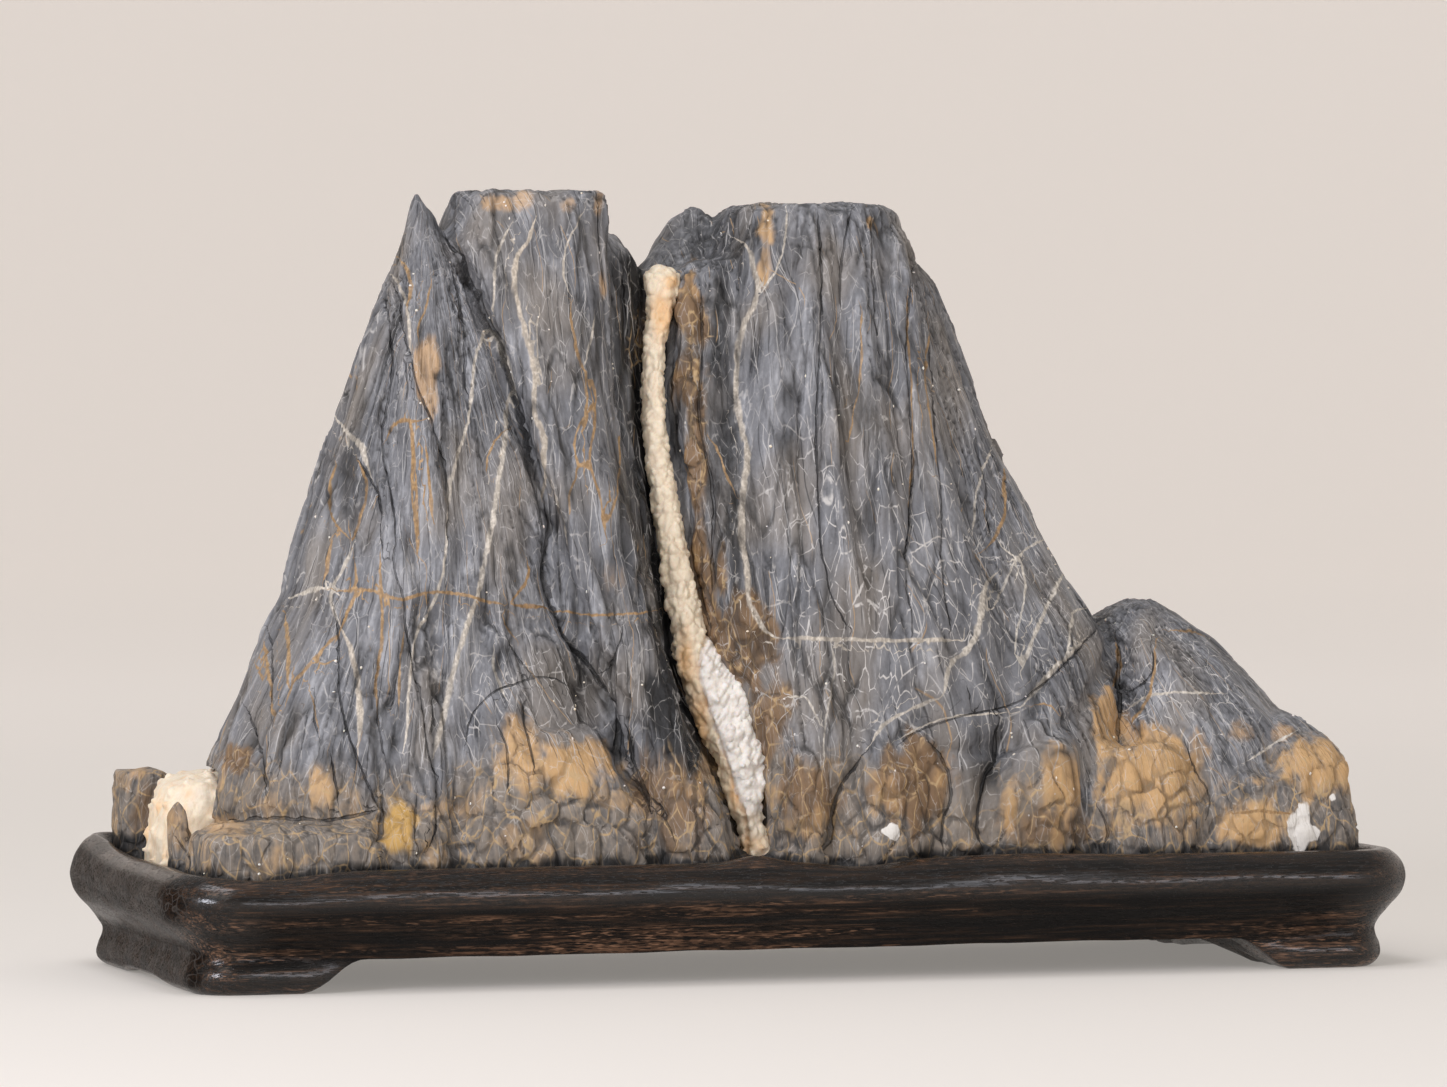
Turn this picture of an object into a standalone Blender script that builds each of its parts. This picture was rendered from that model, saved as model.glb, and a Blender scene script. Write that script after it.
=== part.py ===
"""A layered viewing stone with a calcite waterfall, seated in its carved hardwood stand.

The frame is metres with +Z up. The origin is the middle of the stand's underside, the length
runs along X and the front faces -Y. Sizes below are millimetres, and each mesh is turned to
metres as it is made.
"""
import math
from typing import NamedTuple

import bmesh
import bpy
import numpy as np
from mathutils import Vector, noise

MM = 0.001

# ---------------------------------------------------------------- driving dimensions, mm
STONE_TOP = 210.0
STAND_LENGTH = 350.0
STAND_DEPTH = 140.0
STAND_CORNER = 20.0
FOOT_HEIGHT = 9.0
FOOT_LENGTH = 36.0
FOOT_SLOPE, END_FOOT_SLOPE = 17.0, 18.0
END_ARCH_HEIGHT = 2.0
END_ARCH_HALF = 30.0
SEAT_FLOOR = 22.0
SEAT_INSET = 10.4
SEAT_FILLET = 0.2
RIM_FOOT, RIM_TOP = 21.0, 32.0
GAP = 0.3

STONE_BASE = SEAT_FLOOR + GAP
STONE_TRIANGLES = 5300
FUSING_VOXEL = 2.0
COURSE_STEP = 6.0
SEAT_CLEARANCE = 1.2
CALCITE_CLEARANCE = 0.5

# Weathering: upright flutes over the whole rock, and rounded scales round its foot. The flutes
# fade by a share where the scales are, and everything fades out just above the base.
FLUTE_WIDTH, FLUTE_LENGTH, FLUTE_DEPTH = 11.0, 95.0, 1.5
RIPPLE_WIDTH, RIPPLE_LENGTH, RIPPLE_DEPTH = 5.5, 50.0, 0.8
FLUTE_SPREAD, FLUTE_SHARPNESS, FLUTE_FADE = 0.0022, 2.2, 0.6
SCALE_SIZE, SCALE_DEPTH = 12.0, 1.4
SCALES_END, SCALES_BLEND = 44.0, 22.0
BASE_BLEND = 12.0
CUT_TURN = 2.0
CUT_TAPER = 5.0

# Calcite: how lumpy its surface is, as a share of the radius, over lumps of this size.
ROPE_LUMP, ROPE_LUMPINESS, ROPE_STEP, ROPE_SIDES, ROPE_TURN = 7.0, 0.26, 5.2, 14, 9.0
POCKET_LUMP, POCKET_LUMPINESS, POCKET_STEP = 9.0, 0.16, 5.5


class Course(NamedTuple):
    """One level section of a rock mass: its height, and where its four sides stand."""
    z: float
    left: float
    right: float
    front: float
    back: float


class Mass(NamedTuple):
    """A rock mass: level sections from foot to top, and how square their corners are."""
    courses: tuple
    squareness: float


class Cut(NamedTuple):
    """A groove, or with a negative depth a rib, along a line of (x, z) points on the front."""
    depth: float
    width: float
    points: tuple


class Bead(NamedTuple):
    """One station of a calcite rope: its centre and its half width and half depth."""
    x: float
    y: float
    z: float
    across: float
    deep: float


# The left mountain is a spire with a long flank, and a proud slab laid over it at a slant.
WEST_SPIRE = Mass((
    Course(14, -151, -24, -54, 55),
    Course(50, -148, -26, -47, 47),
    Course(69, -141, -30, -43, 41),
    Course(92, -130, -34, -38, 37),
    Course(104, -124.5, -38, -35, 35),
    Course(112, -123, -42, -33, 33),
    Course(133, -116.5, -50, -29, 29),
    Course(154, -109, -57, -24, 24),
    Course(170, -104.5, -63, -20, 19),
    Course(192, -96, -73, -13, 12),
    Course(199, -93.5, -85.5, -9, 6),
    Course(203.5, -92.5, -88, -6, 3),
    Course(208, -91.5, -90.5, -3, 0)), 3.0)
CENTRE_SLAB = Mass((
    Course(14, -34, -16, -56, 10),
    Course(53, -42, -23, -52, 12),
    Course(75, -51, -30, -48, 14),
    Course(101, -59, -36, -42, 18),
    Course(128, -65, -40, -37, 20),
    Course(152, -72, -42.5, -32, 22),
    Course(176, -80, -42, -27, 24),
    Course(193, -85, -41, -23, 24),
    Course(199, -82, -40.5, -22, 23),
    Course(205, -79.5, -40.5, -21, 22),
    Course(210, -78, -41, -19, 20)), 4.4)
SLAB_FLANK = Mass((
    Course(14, -50, -14, -48, 10),
    Course(53, -45, -18, -43, 12),
    Course(75, -50, -26, -38, 14),
    Course(101, -58, -30, -32.5, 16),
    Course(128, -64, -32, -27, 18),
    Course(152, -70, -34, -22, 20),
    Course(176, -74, -32.5, -16, 22),
    Course(192, -76, -31.5, -12, 22),
    Course(200, -74, -36, -10, 22)), 3.4)
WEST_BACK = Mass((
    Course(14, -140, 0, 0, 55),
    Course(60, -132, -6, 0, 50),
    Course(100, -116, -12, 0, 44),
    Course(150, -98, -20, 0, 36),
    Course(184, -88, -30, 2, 30),
    Course(198, -80, -42, 6, 24)), 3.0)

# The right mountain: a fluted tower, a shoulder falling away to the right, and the bark-like
# wall that faces the waterfall.
EAST_TOWER = Mass((
    Course(14, -4, 72, -55, 30),
    Course(60, -4, 70, -49, 30),
    Course(92, -2, 66, -43, 30),
    Course(120, -3, 60, -38, 30),
    Course(150, -5, 56, -32, 29),
    Course(176, -5, 52, -26, 28),
    Course(196, -4, 47, -20, 27),
    Course(201, -1, 44, -18, 26),
    Course(207, 1, 42, -15, 24)), 4.0)
EAST_SHOULDER = Mass((
    Course(14, 36, 128, -52, 56),
    Course(50, 36, 118, -46, 50),
    Course(70, 36, 109, -42, 43),
    Course(92, 34, 100, -37, 40),
    Course(114, 32, 87, -31, 36),
    Course(142, 30, 71.5, -25, 32),
    Course(172, 28, 61, -18, 27),
    Course(186, 28, 55, -14, 23),
    Course(199, 28, 45, -9, 18)), 2.4)
CLEFT_WALL = Mass((
    Course(14, -5, 6, -50, 20),
    Course(45, -5, 6, -46, 20),
    Course(60, -5, 6, -42, 20),
    Course(72, -8, 5, -39, 20),
    Course(88, -16, 4, -35, 20),
    Course(120, -20, 4, -30, 20),
    Course(150, -23, 2, -22, 20),
    Course(176, -22, 2, -15, 20),
    Course(188, -19, 2, -11, 20),
    Course(192, -12, 2, -8, 20)), 3.6)
CLEFT_FLOOR = Mass((
    Course(14, -24, -2, -51, 20),
    Course(28, -24, -2, -50, 20),
    Course(36, -24, -2, -41, 20),
    Course(60, -24, -2, -31, 20),
    Course(88, -28, -8, -26, 20),
    Course(120, -36, -14, -18, 20),
    Course(150, -38, -18, -12, 20),
    Course(176, -38, -16, -6, 20),
    Course(189, -34, -14, -2, 20)), 4.0)
REAR_RIDGE = Mass((
    Course(14, -70, 80, 0, 54),
    Course(100, -52, 58, 0, 44),
    Course(160, -36, 34, 2, 36),
    Course(190, -22, 22, 6, 31),
    Course(198, -15.5, 14, 12, 29),
    Course(203.5, -13, 11, 15, 27)), 2.6)
REAR_PEAK = Mass((
    Course(196, -16, 2, 13, 28),
    Course(203, -11.5, -3, 16, 26),
    Course(207.5, -8.5, -6, 19, 24)), 2.6)

# The low range to the right.
EAST_HILL = Mass((
    Course(14, 92, 163, -56, 55),
    Course(50, 94, 161, -49, 47),
    Course(66, 96, 152.5, -43, 36),
    Course(82, 99, 139, -34, 28),
    Course(90, 103, 129, -27, 18),
    Course(95.5, 107, 122.5, -20, 9),
    Course(98, 111.5, 118, -13, 1)), 2.6)
EAST_BLOCK = Mass((
    Course(14, 134, 163, -57.5, 56),
    Course(38, 136, 162.5, -56.5, 54),
    Course(56, 138, 161, -52, 44),
    Course(62, 140, 157, -46, 34),
    Course(67, 138, 150, -38, 26)), 5.0)

# Boulders, columns and ledges that stand round the foot.
FOOT_MASSES = (
    Mass((Course(14, -163, -112, -57.5, -18), Course(36, -162.5, -112, -57, -18),
          Course(41, -161, -112, -55, -19), Course(43.5, -156, -113, -50, -22)), 5.0),
    Mass((Course(14, -114, -103, -57, -30), Course(40, -113, -103, -55, -30),
          Course(46, -111, -104, -51, -32)), 3.0),
    Mass((Course(14, -102, -96, -55.5, -30), Course(44, -102, -96, -53, -30),
          Course(50, -101, -98, -49, -32)), 3.0),
    Mass((Course(14, -97, -30, -57, -20), Course(38, -96, -34, -55.5, -20),
          Course(54, -90, -42, -52, -20), Course(66, -80, -50, -46, -20)), 2.8),
    Mass((Course(14, -32, -14, -57, -20), Course(44, -38, -17, -54.5, -20),
          Course(56, -40, -23, -51, -20)), 3.0),
    Mass((Course(14, -4, 12, -56, -20), Course(48, -3, 11, -53.5, -20),
          Course(60, 0, 9, -48, -20)), 2.6),
    Mass((Course(14, 12, 41, -57.5, -20), Course(38, 12, 41, -57, -20),
          Course(54, 14, 40, -54, -20), Course(64, 20, 36, -48, -20)), 2.6),
    Mass((Course(14, 41, 51, -54.5, -20), Course(56, 42, 50, -50, -20)), 3.0),
    Mass((Course(14, 51, 84, -57, -20), Course(44, 53, 84, -55, -20),
          Course(58, 58, 84, -51, -20), Course(67, 66, 82, -46, -20)), 2.6),
    Mass((Course(14, 85, 120, -57.5, -20), Course(46, 85, 119, -55, -20),
          Course(60, 89, 114, -49, -20)), 2.6),
    Mass((Course(14, 120, 163, -57.5, -20), Course(38, 121, 162.5, -57, -20),
          Course(52, 124, 159, -53, -20)), 4.6),
)

# The slab that stands alone at the back left, past the calcite pocket, with the splinters in
# front of it and the low sill that joins them to the mountain.
WEST_SLAB = Mass((
    Course(14, -163.5, -148, 38, 55),
    Course(40, -163, -149, 38, 55),
    Course(52, -162, -150, 39, 53),
    Course(53.5, -161, -151, 40, 50)), 6.0)
WEST_SHARDS = Mass((
    Course(14, -163, -156, -18, -6),
    Course(44, -162.5, -157, -16, -7),
    Course(49, -161, -158.5, -13, -9)), 3.0)
WEST_SILL = Mass((
    Course(14, -161, -130, -42, 55),
    Course(30, -160, -130, -38, 54),
    Course(36, -154, -130, -30, 48)), 4.0)

STONE_MASSES = (WEST_SPIRE, CENTRE_SLAB, SLAB_FLANK, WEST_BACK, EAST_TOWER, EAST_SHOULDER,
                CLEFT_WALL, CLEFT_FLOOR, REAR_RIDGE, REAR_PEAK, EAST_HILL, EAST_BLOCK,
                WEST_SLAB, WEST_SHARDS, WEST_SILL) + FOOT_MASSES

# Calcite grown on the stone: a rope down the cleft, and a rounded pocket at the left end.
ROPE = (
    Bead(-25.5, -4.5, 192.5, 3.2, 3.0),
    Bead(-24.3, -4.8, 189.5, 5.0, 4.0),
    Bead(-25.6, -6.5, 182.0, 4.0, 4.4),
    Bead(-28.0, -9.0, 171.0, 3.7, 4.4),
    Bead(-29.6, -11.5, 160.0, 3.5, 4.4),
    Bead(-29.6, -13.7, 149.5, 3.5, 4.4),
    Bead(-28.6, -16.0, 138.5, 3.4, 4.4),
    Bead(-27.8, -18.4, 127.5, 3.5, 4.4),
    Bead(-26.4, -21.3, 114.5, 3.8, 4.4),
    Bead(-25.0, -24.2, 101.0, 4.3, 4.6),
    Bead(-22.3, -26.8, 87.5, 5.7, 5.0),
    Bead(-16.5, -29.0, 76.0, 8.4, 5.6),
    Bead(-12.8, -31.2, 63.5, 8.4, 5.8),
    Bead(-10.5, -34.0, 52.5, 6.0, 5.4),
    Bead(-9.0, -36.8, 44.5, 4.4, 4.6),
    Bead(-8.6, -39.0, 36.5, 3.8, 4.0),
    Bead(-8.6, -40.0, 30.0, 3.4, 3.6))
POCKET = Mass((
    Course(26, -161, -138, -5, 37),
    Course(38, -160, -138, -3, 37),
    Course(46, -158, -138.5, 0, 36.5),
    Course(52, -154.5, -139, 3, 35.5),
    Course(55, -150, -140, 7, 34)), 2.7)

# Rings of the stand, from the foot up the outer side and over the rim: height and inset.
STAND_PROFILE = (
    (0.0, 9.6), (1.4, 8.2), (4.2, 7.1), (7.4, 6.7), (9.6, 6.9), (11.6, 7.3), (14.6, 4.8),
    (18.4, 1.8), (21.6, 0.4), (24.4, 0.0), (27.2, 0.6), (29.4, 1.8), (31.2, 3.8), (32.2, 6.2),
    (31.8, 8.6), (30.2, 10.0), (26.6, SEAT_INSET))
# Swells and dips of the rim: where (x, y), how far they spread, and how high they lift it.
RIM_SWELLS = (
    ((-164, 56), 26.0, 3.6),
    ((-150, -60), 16.0, -2.2),
    ((-15, -60), 7.0, 2.0),
    ((14, -60), 12.0, -1.8),
    ((60, -60), 26.0, 0.8),
    ((158, 52), 24.0, 1.6))

# Cracks, valleys and ribs on the front, as (x, z) points from the top down. A negative depth
# raises a rib.
CUTS = (
    Cut(3.2, 1.9, ((-86, 199), (-79, 177), (-71, 152), (-64, 128), (-59, 106), (-50, 80), (-38, 56))),
    Cut(2.6, 2.4, ((-98, 176), (-104, 150), (-102, 128), (-98, 106), (-94, 84), (-96, 60))),
    Cut(-2.2, 4.0, ((-93, 196), (-97, 170), (-98, 148), (-93, 124), (-88, 104))),
    Cut(3.4, 3.0, ((-75, 112), (-84, 90), (-90, 68), (-92, 48), (-93, 30))),
    Cut(2.0, 2.2, ((-116, 142), (-112, 122), (-114, 100), (-109, 78), (-107, 54))),
    Cut(2.4, 2.2, ((-83, 158), (-86, 134), (-88, 112), (-95, 90))),
    Cut(-2.0, 3.2, ((-72, 130), (-75, 108), (-80, 86))),
    Cut(2.2, 2.0, ((-42, 203), (-40, 168), (-38, 138), (-34, 112), (-31, 90), (-26, 66))),
    Cut(1.6, 2.2, ((-66, 208), (-64, 176), (-58, 146), (-52, 118), (-44, 88))),
    Cut(2.4, 2.4, ((10, 206), (8, 178), (9, 150), (8, 120), (10, 94))),
    Cut(-1.8, 3.0, ((16, 206), (15, 170), (16, 130), (18, 98))),
    Cut(2.6, 2.4, ((23, 207), (22, 176), (22, 140), (23, 104))),
    Cut(-1.8, 3.0, ((29, 206), (28, 170), (30, 130), (34, 98))),
    Cut(2.2, 2.2, ((36, 206), (34, 174), (37, 138), (42, 104))),
    Cut(3.4, 2.8, ((45, 200), (48, 174), (53, 142), (61, 110), (70, 88))),
    Cut(1.8, 2.2, ((58, 170), (64, 142), (74, 112), (84, 90))),
    Cut(2.8, 2.2, ((104, 92), (96, 80), (84, 68), (70, 63), (50, 60), (36, 56))),
    Cut(2.6, 2.2, ((104, 92), (101, 74), (100, 56), (98, 40))),
    Cut(1.6, 1.8, ((104, 90), (114, 91), (128, 89))),
    Cut(1.3, 1.8, ((-128, 101), (-104, 98), (-84, 97), (-62, 94), (-42, 92))),
)


def ease(t):
    """A ramp from 0 to 1 that starts and ends level."""
    t = min(max(t, 0.0), 1.0)
    return t * t * (3.0 - 2.0 * t)


def new_material(name, rgb, roughness):
    """A plain Principled material."""
    material = bpy.data.materials.new(name)
    material.use_nodes = True
    shader = material.node_tree.nodes["Principled BSDF"]
    shader.inputs["Base Color"].default_value = (*rgb, 1.0)
    shader.inputs["Roughness"].default_value = roughness
    shader.inputs["Metallic"].default_value = 0.0
    return material


def new_object(name, points, faces, material=None):
    """A mesh object from points in millimetres."""
    mesh = bpy.data.meshes.new(name)
    mesh.from_pydata([tuple(c * MM for c in p) for p in points], [], faces)
    if material:
        mesh.materials.append(material)
    obj = bpy.data.objects.new(name, mesh)
    bpy.context.collection.objects.link(obj)
    return obj


def lofted(rings):
    """Points and faces of a closed skin through rings of equal count, capped flat."""
    count = len(rings[0])
    points = [p for ring in rings for p in ring]
    faces = [tuple(reversed(range(count)))]
    for level in range(len(rings) - 1):
        low, high = level * count, (level + 1) * count
        for i in range(count):
            j = (i + 1) % count
            faces.append((low + i, low + j, high + j, high + i))
    top = (len(rings) - 1) * count
    faces.append(tuple(range(top, top + count)))
    return points, faces


def rounded_box(left, right, front, back, squareness, z, count=56):
    """A ring whose corners get squarer as squareness grows: 2 is an ellipse."""
    middle_x, half_x = (left + right) / 2, (right - left) / 2
    middle_y, half_y = (front + back) / 2, (back - front) / 2
    ring = []
    for i in range(count):
        turn = 2 * math.pi * i / count
        c, s = math.cos(turn), math.sin(turn)
        reach = (abs(c) ** squareness + abs(s) ** squareness) ** (-1 / squareness)
        ring.append((middle_x + half_x * reach * c, middle_y + half_y * reach * s, z))
    return ring


def mass_rings(mass, step=COURSE_STEP):
    """Level rings of a rock mass, evenly between its courses."""
    rings = []
    for low, high in zip(mass.courses, mass.courses[1:]):
        count = max(1, round((high.z - low.z) / step))
        for k in range(count):
            t = k / count
            level = [a + (b - a) * t for a, b in zip(low, high)]
            rings.append(rounded_box(*level[1:], mass.squareness, level[0]))
    last = mass.courses[-1]
    rings.append(rounded_box(*last[1:], mass.squareness, last.z))
    return rings


def apply_modifiers(obj):
    """Bake an object's modifiers into its mesh."""
    graph = bpy.context.evaluated_depsgraph_get()
    mesh = bpy.data.meshes.new_from_object(obj.evaluated_get(graph))
    obj.modifiers.clear()
    old, obj.data = obj.data, mesh
    bpy.data.meshes.remove(old)


def fused_masses(material):
    """All the rock masses fused into one skin by a voxel remesh."""
    points, faces = [], []
    for mass in STONE_MASSES:
        ring_points, ring_faces = lofted(mass_rings(mass))
        start = len(points)
        points += ring_points
        faces += [tuple(start + i for i in face) for face in ring_faces]
    stone = new_object("stone", points, faces, material)
    fuse = stone.modifiers.new("fuse", "REMESH")
    fuse.mode = "VOXEL"
    fuse.voxel_size = FUSING_VOXEL * MM
    soften = stone.modifiers.new("soften", "SMOOTH")
    soften.factor = 0.5
    soften.iterations = 2
    apply_modifiers(stone)
    return stone


def carved_depth(x, z, cut):
    """How deep a cut goes at points (x, z) of the front view, fading out at its ends."""
    best = np.full(len(x), 1e9)
    for (x0, z0), (x1, z1) in zip(cut.points, cut.points[1:]):
        run, rise = x1 - x0, z1 - z0
        t = np.clip(((x - x0) * run + (z - z0) * rise) / (run * run + rise * rise), 0, 1)
        best = np.minimum(best, np.hypot(x - x0 - t * run, z - z0 - t * rise))
    ends = [np.hypot(x - end_x, z - end_z) for end_x, end_z in (cut.points[0], cut.points[-1])]
    fade = np.clip(np.minimum(*ends) / (CUT_TAPER * cut.width), 0.0, 1.0)
    return cut.depth * fade * np.exp(-((best / cut.width) ** 2))


def flute(point):
    """Height of the weathered flutes: noise drawn out along the upright grain of the rock."""
    spread = 1.0 + FLUTE_SPREAD * (STONE_TOP - point.z)
    across = Vector((point.x / spread, point.y, 0.0))
    along = Vector((0.0, 0.0, point.z))
    broad = noise.noise(across / FLUTE_WIDTH + along / FLUTE_LENGTH)
    fine = noise.noise(across / RIPPLE_WIDTH + along / RIPPLE_LENGTH)
    return FLUTE_DEPTH * (1.0 - FLUTE_SHARPNESS * abs(broad)) + RIPPLE_DEPTH * fine


def scale(point):
    """Height of the rounded scales that the foot has broken into."""
    near, next_near = noise.voronoi(point / SCALE_SIZE)[0][:2]
    return SCALE_DEPTH * (min(next_near - near, 0.5) - 0.35)


def weather(stone):
    """Carve the cracks, ribs and flutes into the fused skin."""
    mesh = stone.data
    count = len(mesh.vertices)
    place = np.empty(count * 3)
    facing = np.empty(count * 3)
    mesh.vertices.foreach_get("co", place)
    mesh.vertex_normals.foreach_get("vector", facing)
    place = place.reshape(-1, 3) / MM
    facing = facing.reshape(-1, 3)
    foot = np.array([1.0 - ease((z - SCALES_END) / SCALES_BLEND) for z in place[:, 2]])
    lift = np.array([flute(Vector(p)) * (1 - FLUTE_FADE * f) + scale(Vector(p)) * f
                     for p, f in zip(place, foot)])
    lift *= np.clip((place[:, 2] - STONE_BASE) / BASE_BLEND, 0.0, 1.0)
    front = np.clip(-facing[:, 1] * CUT_TURN, 0.0, 1.0)
    for cut in CUTS:
        lift -= front * carved_depth(place[:, 0], place[:, 2], cut)
    moved = place + facing * lift[:, None]
    seat_x = STAND_LENGTH / 2 - SEAT_INSET - SEAT_CLEARANCE
    seat_y = STAND_DEPTH / 2 - SEAT_INSET - SEAT_CLEARANCE
    moved[:, 0] = np.clip(moved[:, 0], -seat_x, seat_x)
    moved[:, 1] = np.clip(moved[:, 1], -seat_y, seat_y)
    mesh.vertices.foreach_set("co", (moved * MM).ravel())
    mesh.update()


def flat_cut(obj, height):
    """Slice an object level at a height, keep what is above and close the cut."""
    shape = bmesh.new()
    shape.from_mesh(obj.data)
    everything = shape.verts[:] + shape.edges[:] + shape.faces[:]
    bmesh.ops.bisect_plane(shape, geom=everything, dist=0.0, plane_co=(0, 0, height * MM),
                           plane_no=(0, 0, 1), clear_inner=True)
    rim = [edge for edge in shape.edges if edge.is_boundary]
    bmesh.ops.holes_fill(shape, edges=rim, sides=0)
    bmesh.ops.triangulate(shape, faces=shape.faces[:])
    shape.to_mesh(obj.data)
    shape.free()


def thin_out(obj, triangles):
    """Decimate an object to about a number of triangles."""
    thin = obj.modifiers.new("thin", "DECIMATE")
    thin.ratio = triangles / len(obj.data.polygons)
    apply_modifiers(obj)


def face_outwards(obj):
    """Turn every face of a closed object outwards."""
    shape = bmesh.new()
    shape.from_mesh(obj.data)
    bmesh.ops.recalc_face_normals(shape, faces=shape.faces[:])
    shape.to_mesh(obj.data)
    shape.free()


def subtract(obj, cutter):
    """Boolean a cutter out of an object, and keep the cutter out of the render."""
    cutter.hide_render = True
    cutter.display_type = "WIRE"
    cut = obj.modifiers.new("cut by " + cutter.name, "BOOLEAN")
    cut.operation = "DIFFERENCE"
    cut.solver = "EXACT"
    cut.object = cutter


def lump(x, y, z, size, height):
    """How far a botryoidal calcite surface swells at a point."""
    return height * noise.noise(Vector((x / size, y / size, z / size)))


def rope_rings(grow):
    """Level rings down the calcite rope, grown outwards by a clearance."""
    beads = list(ROPE)
    rings = []
    for high, low in zip(beads, beads[1:]):
        stops = max(1, round((high.z - low.z) / ROPE_STEP))
        for k in range(stops):
            rings.append([a + (b - a) * k / stops for a, b in zip(high, low)])
    rings.append(list(beads[-1]))
    rings[0][2] += grow
    rings[-1][2] -= grow
    placed = []
    for x, y, z, across, deep in reversed(rings):
        ring = []
        for i in range(ROPE_SIDES):
            turn = 2 * math.pi * i / ROPE_SIDES
            c, s = math.cos(turn), math.sin(turn)
            swell = 1.0 + lump(x + ROPE_TURN * c, y + ROPE_TURN * s, z, ROPE_LUMP, ROPE_LUMPINESS)
            ring.append((x + (across * swell + grow) * c, y + (deep * swell + grow) * s, z))
        placed.append(ring)
    return placed


def pocket_rings(grow):
    """Level rings of the calcite pocket, grown outwards by a clearance."""
    rings = mass_rings(POCKET, POCKET_STEP)
    foot = POCKET.courses[0]
    middle = Vector(((foot.left + foot.right) / 2, (foot.front + foot.back) / 2, 0.0))
    placed = []
    for level, ring in enumerate(rings):
        rise = -grow if level == 0 else grow if level == len(rings) - 1 else 0.0
        line = []
        for x, y, z in ring[::2]:
            out = Vector((x, y, 0.0)) - middle
            reach = out.length * (1.0 + lump(x, y, z, POCKET_LUMP, POCKET_LUMPINESS)) + grow
            line.append((*(middle + out.normalized() * reach).xy, z + rise))
        placed.append(line)
    return placed


def rim_lift(x, y):
    """How far the rim of the stand swells or dips at a point."""
    lift = 0.0
    for (at_x, at_y), spread, height in RIM_SWELLS:
        lift += height * math.exp(-((x - at_x) ** 2 + (y - at_y) ** 2) / (spread * spread))
    return lift


def stand_ring(height, inset, corner_steps=4, long_steps=12, short_steps=4):
    """A rounded rectangle inset from the stand's plan, with its rim swells."""
    half_x, half_y = STAND_LENGTH / 2 - inset, STAND_DEPTH / 2 - inset
    radius = STAND_CORNER - inset
    ring = []
    corners = ((1, 1), (-1, 1), (-1, -1), (1, -1))
    for quarter, (sign_x, sign_y) in enumerate(corners):
        for k in range(corner_steps + 1):
            turn = math.pi / 2 * (quarter + k / corner_steps)
            ring.append((sign_x * (half_x - radius) + radius * math.cos(turn),
                         sign_y * (half_y - radius) + radius * math.sin(turn)))
        next_x, next_y = corners[(quarter + 1) % 4]
        steps = long_steps if quarter % 2 == 0 else short_steps
        here = ring[-1]
        turn = math.pi / 2 * (quarter + 1)
        there = (next_x * (half_x - radius) + radius * math.cos(turn),
                 next_y * (half_y - radius) + radius * math.sin(turn))
        for k in range(1, steps):
            ring.append(tuple(a + (b - a) * k / steps for a, b in zip(here, there)))
    share = max(0.0, (height - RIM_FOOT) / (RIM_TOP - RIM_FOOT))
    return [(x, y, height + share * rim_lift(x, y)) for x, y in ring]


def ogee_arch(start, end, height, run, steps=7, below=-2.0):
    """An arch outline (along, z) that rises and falls in S curves over a run at each end."""
    rise = [(start + run * k / steps, height * ease(k / steps)) for k in range(steps + 1)]
    fall = [(end - run * k / steps, height * ease(k / steps)) for k in range(steps, -1, -1)]
    return [(start, below)] + rise[1:] + fall[:-1] + [(end, below)]


def arch_cutter(name, outline, along_x, reach):
    """A bar with an arch outline, run through the stand along Y, or along X."""
    near, far = [], []
    for a, z in outline:
        near.append((a, -reach, z) if along_x else (-reach, a, z))
        far.append((a, reach, z) if along_x else (reach, a, z))
    cutter = new_object(name, *lofted([near, far]))
    face_outwards(cutter)
    return cutter


def make_stand(material):
    """The carved stand: a moulded tray, arched underneath so it stands on four feet."""
    rings = [stand_ring(z, inset) for z, inset in STAND_PROFILE]
    rings.append([(x, y, SEAT_FLOOR) for x, y, _ in stand_ring(0, SEAT_INSET + SEAT_FILLET)])
    points, faces = lofted(rings)
    stand = new_object("stand", points, faces, material)
    reach = STAND_LENGTH / 2 - FOOT_LENGTH
    long_arch = ogee_arch(-reach, reach, FOOT_HEIGHT, FOOT_SLOPE)
    end_arch = ogee_arch(-END_ARCH_HALF, END_ARCH_HALF, END_ARCH_HEIGHT, END_FOOT_SLOPE)
    subtract(stand, arch_cutter("long arch", long_arch, True, STAND_DEPTH))
    subtract(stand, arch_cutter("end arch", end_arch, False, STAND_LENGTH))
    return stand


def make_stone(material):
    """The stone: masses fused, weathered, cut flat, thinned, and hollowed for its calcite."""
    stone = fused_masses(material)
    weather(stone)
    flat_cut(stone, STONE_BASE)
    thin_out(stone, STONE_TRIANGLES)
    for name, rings in (("rope", rope_rings(CALCITE_CLEARANCE)),
                        ("pocket", pocket_rings(CALCITE_CLEARANCE))):
        subtract(stone, new_object(name + " hollow", *lofted(rings)))
    return stone


def main():
    """Build the stand, the stone and its two bodies of calcite."""
    for old in list(bpy.data.objects):
        bpy.data.objects.remove(old)
    slate = new_material("layered limestone", (0.085, 0.087, 0.093), 0.6)
    calcite = new_material("cream calcite", (0.72, 0.60, 0.42), 0.5)
    hardwood = new_material("dark hardwood", (0.012, 0.009, 0.008), 0.35)
    make_stand(hardwood)
    make_stone(slate)
    new_object("waterfall_vein", *lofted(rope_rings(0.0)), calcite)
    new_object("left_calcite_pocket", *lofted(pocket_rings(0.0)), calcite)


main()
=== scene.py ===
"""The scholars rock on its stand, dressed as weathered slate, calcite and dark hardwood.

Lengths are millimetres in the part's own frame (+X right, -Y front, +Z up), and a mesh turns
them to metres as it is made. Cracks, veins and stains are placed in the front view: how far
across from the stand's middle and how far up from its underside, measured in the upright plane
that the camera is aimed at.
"""
from __future__ import annotations

import itertools
import logging
import math
from collections.abc import Sequence
from dataclasses import dataclass
from enum import Enum
from typing import Any, NamedTuple

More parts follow.
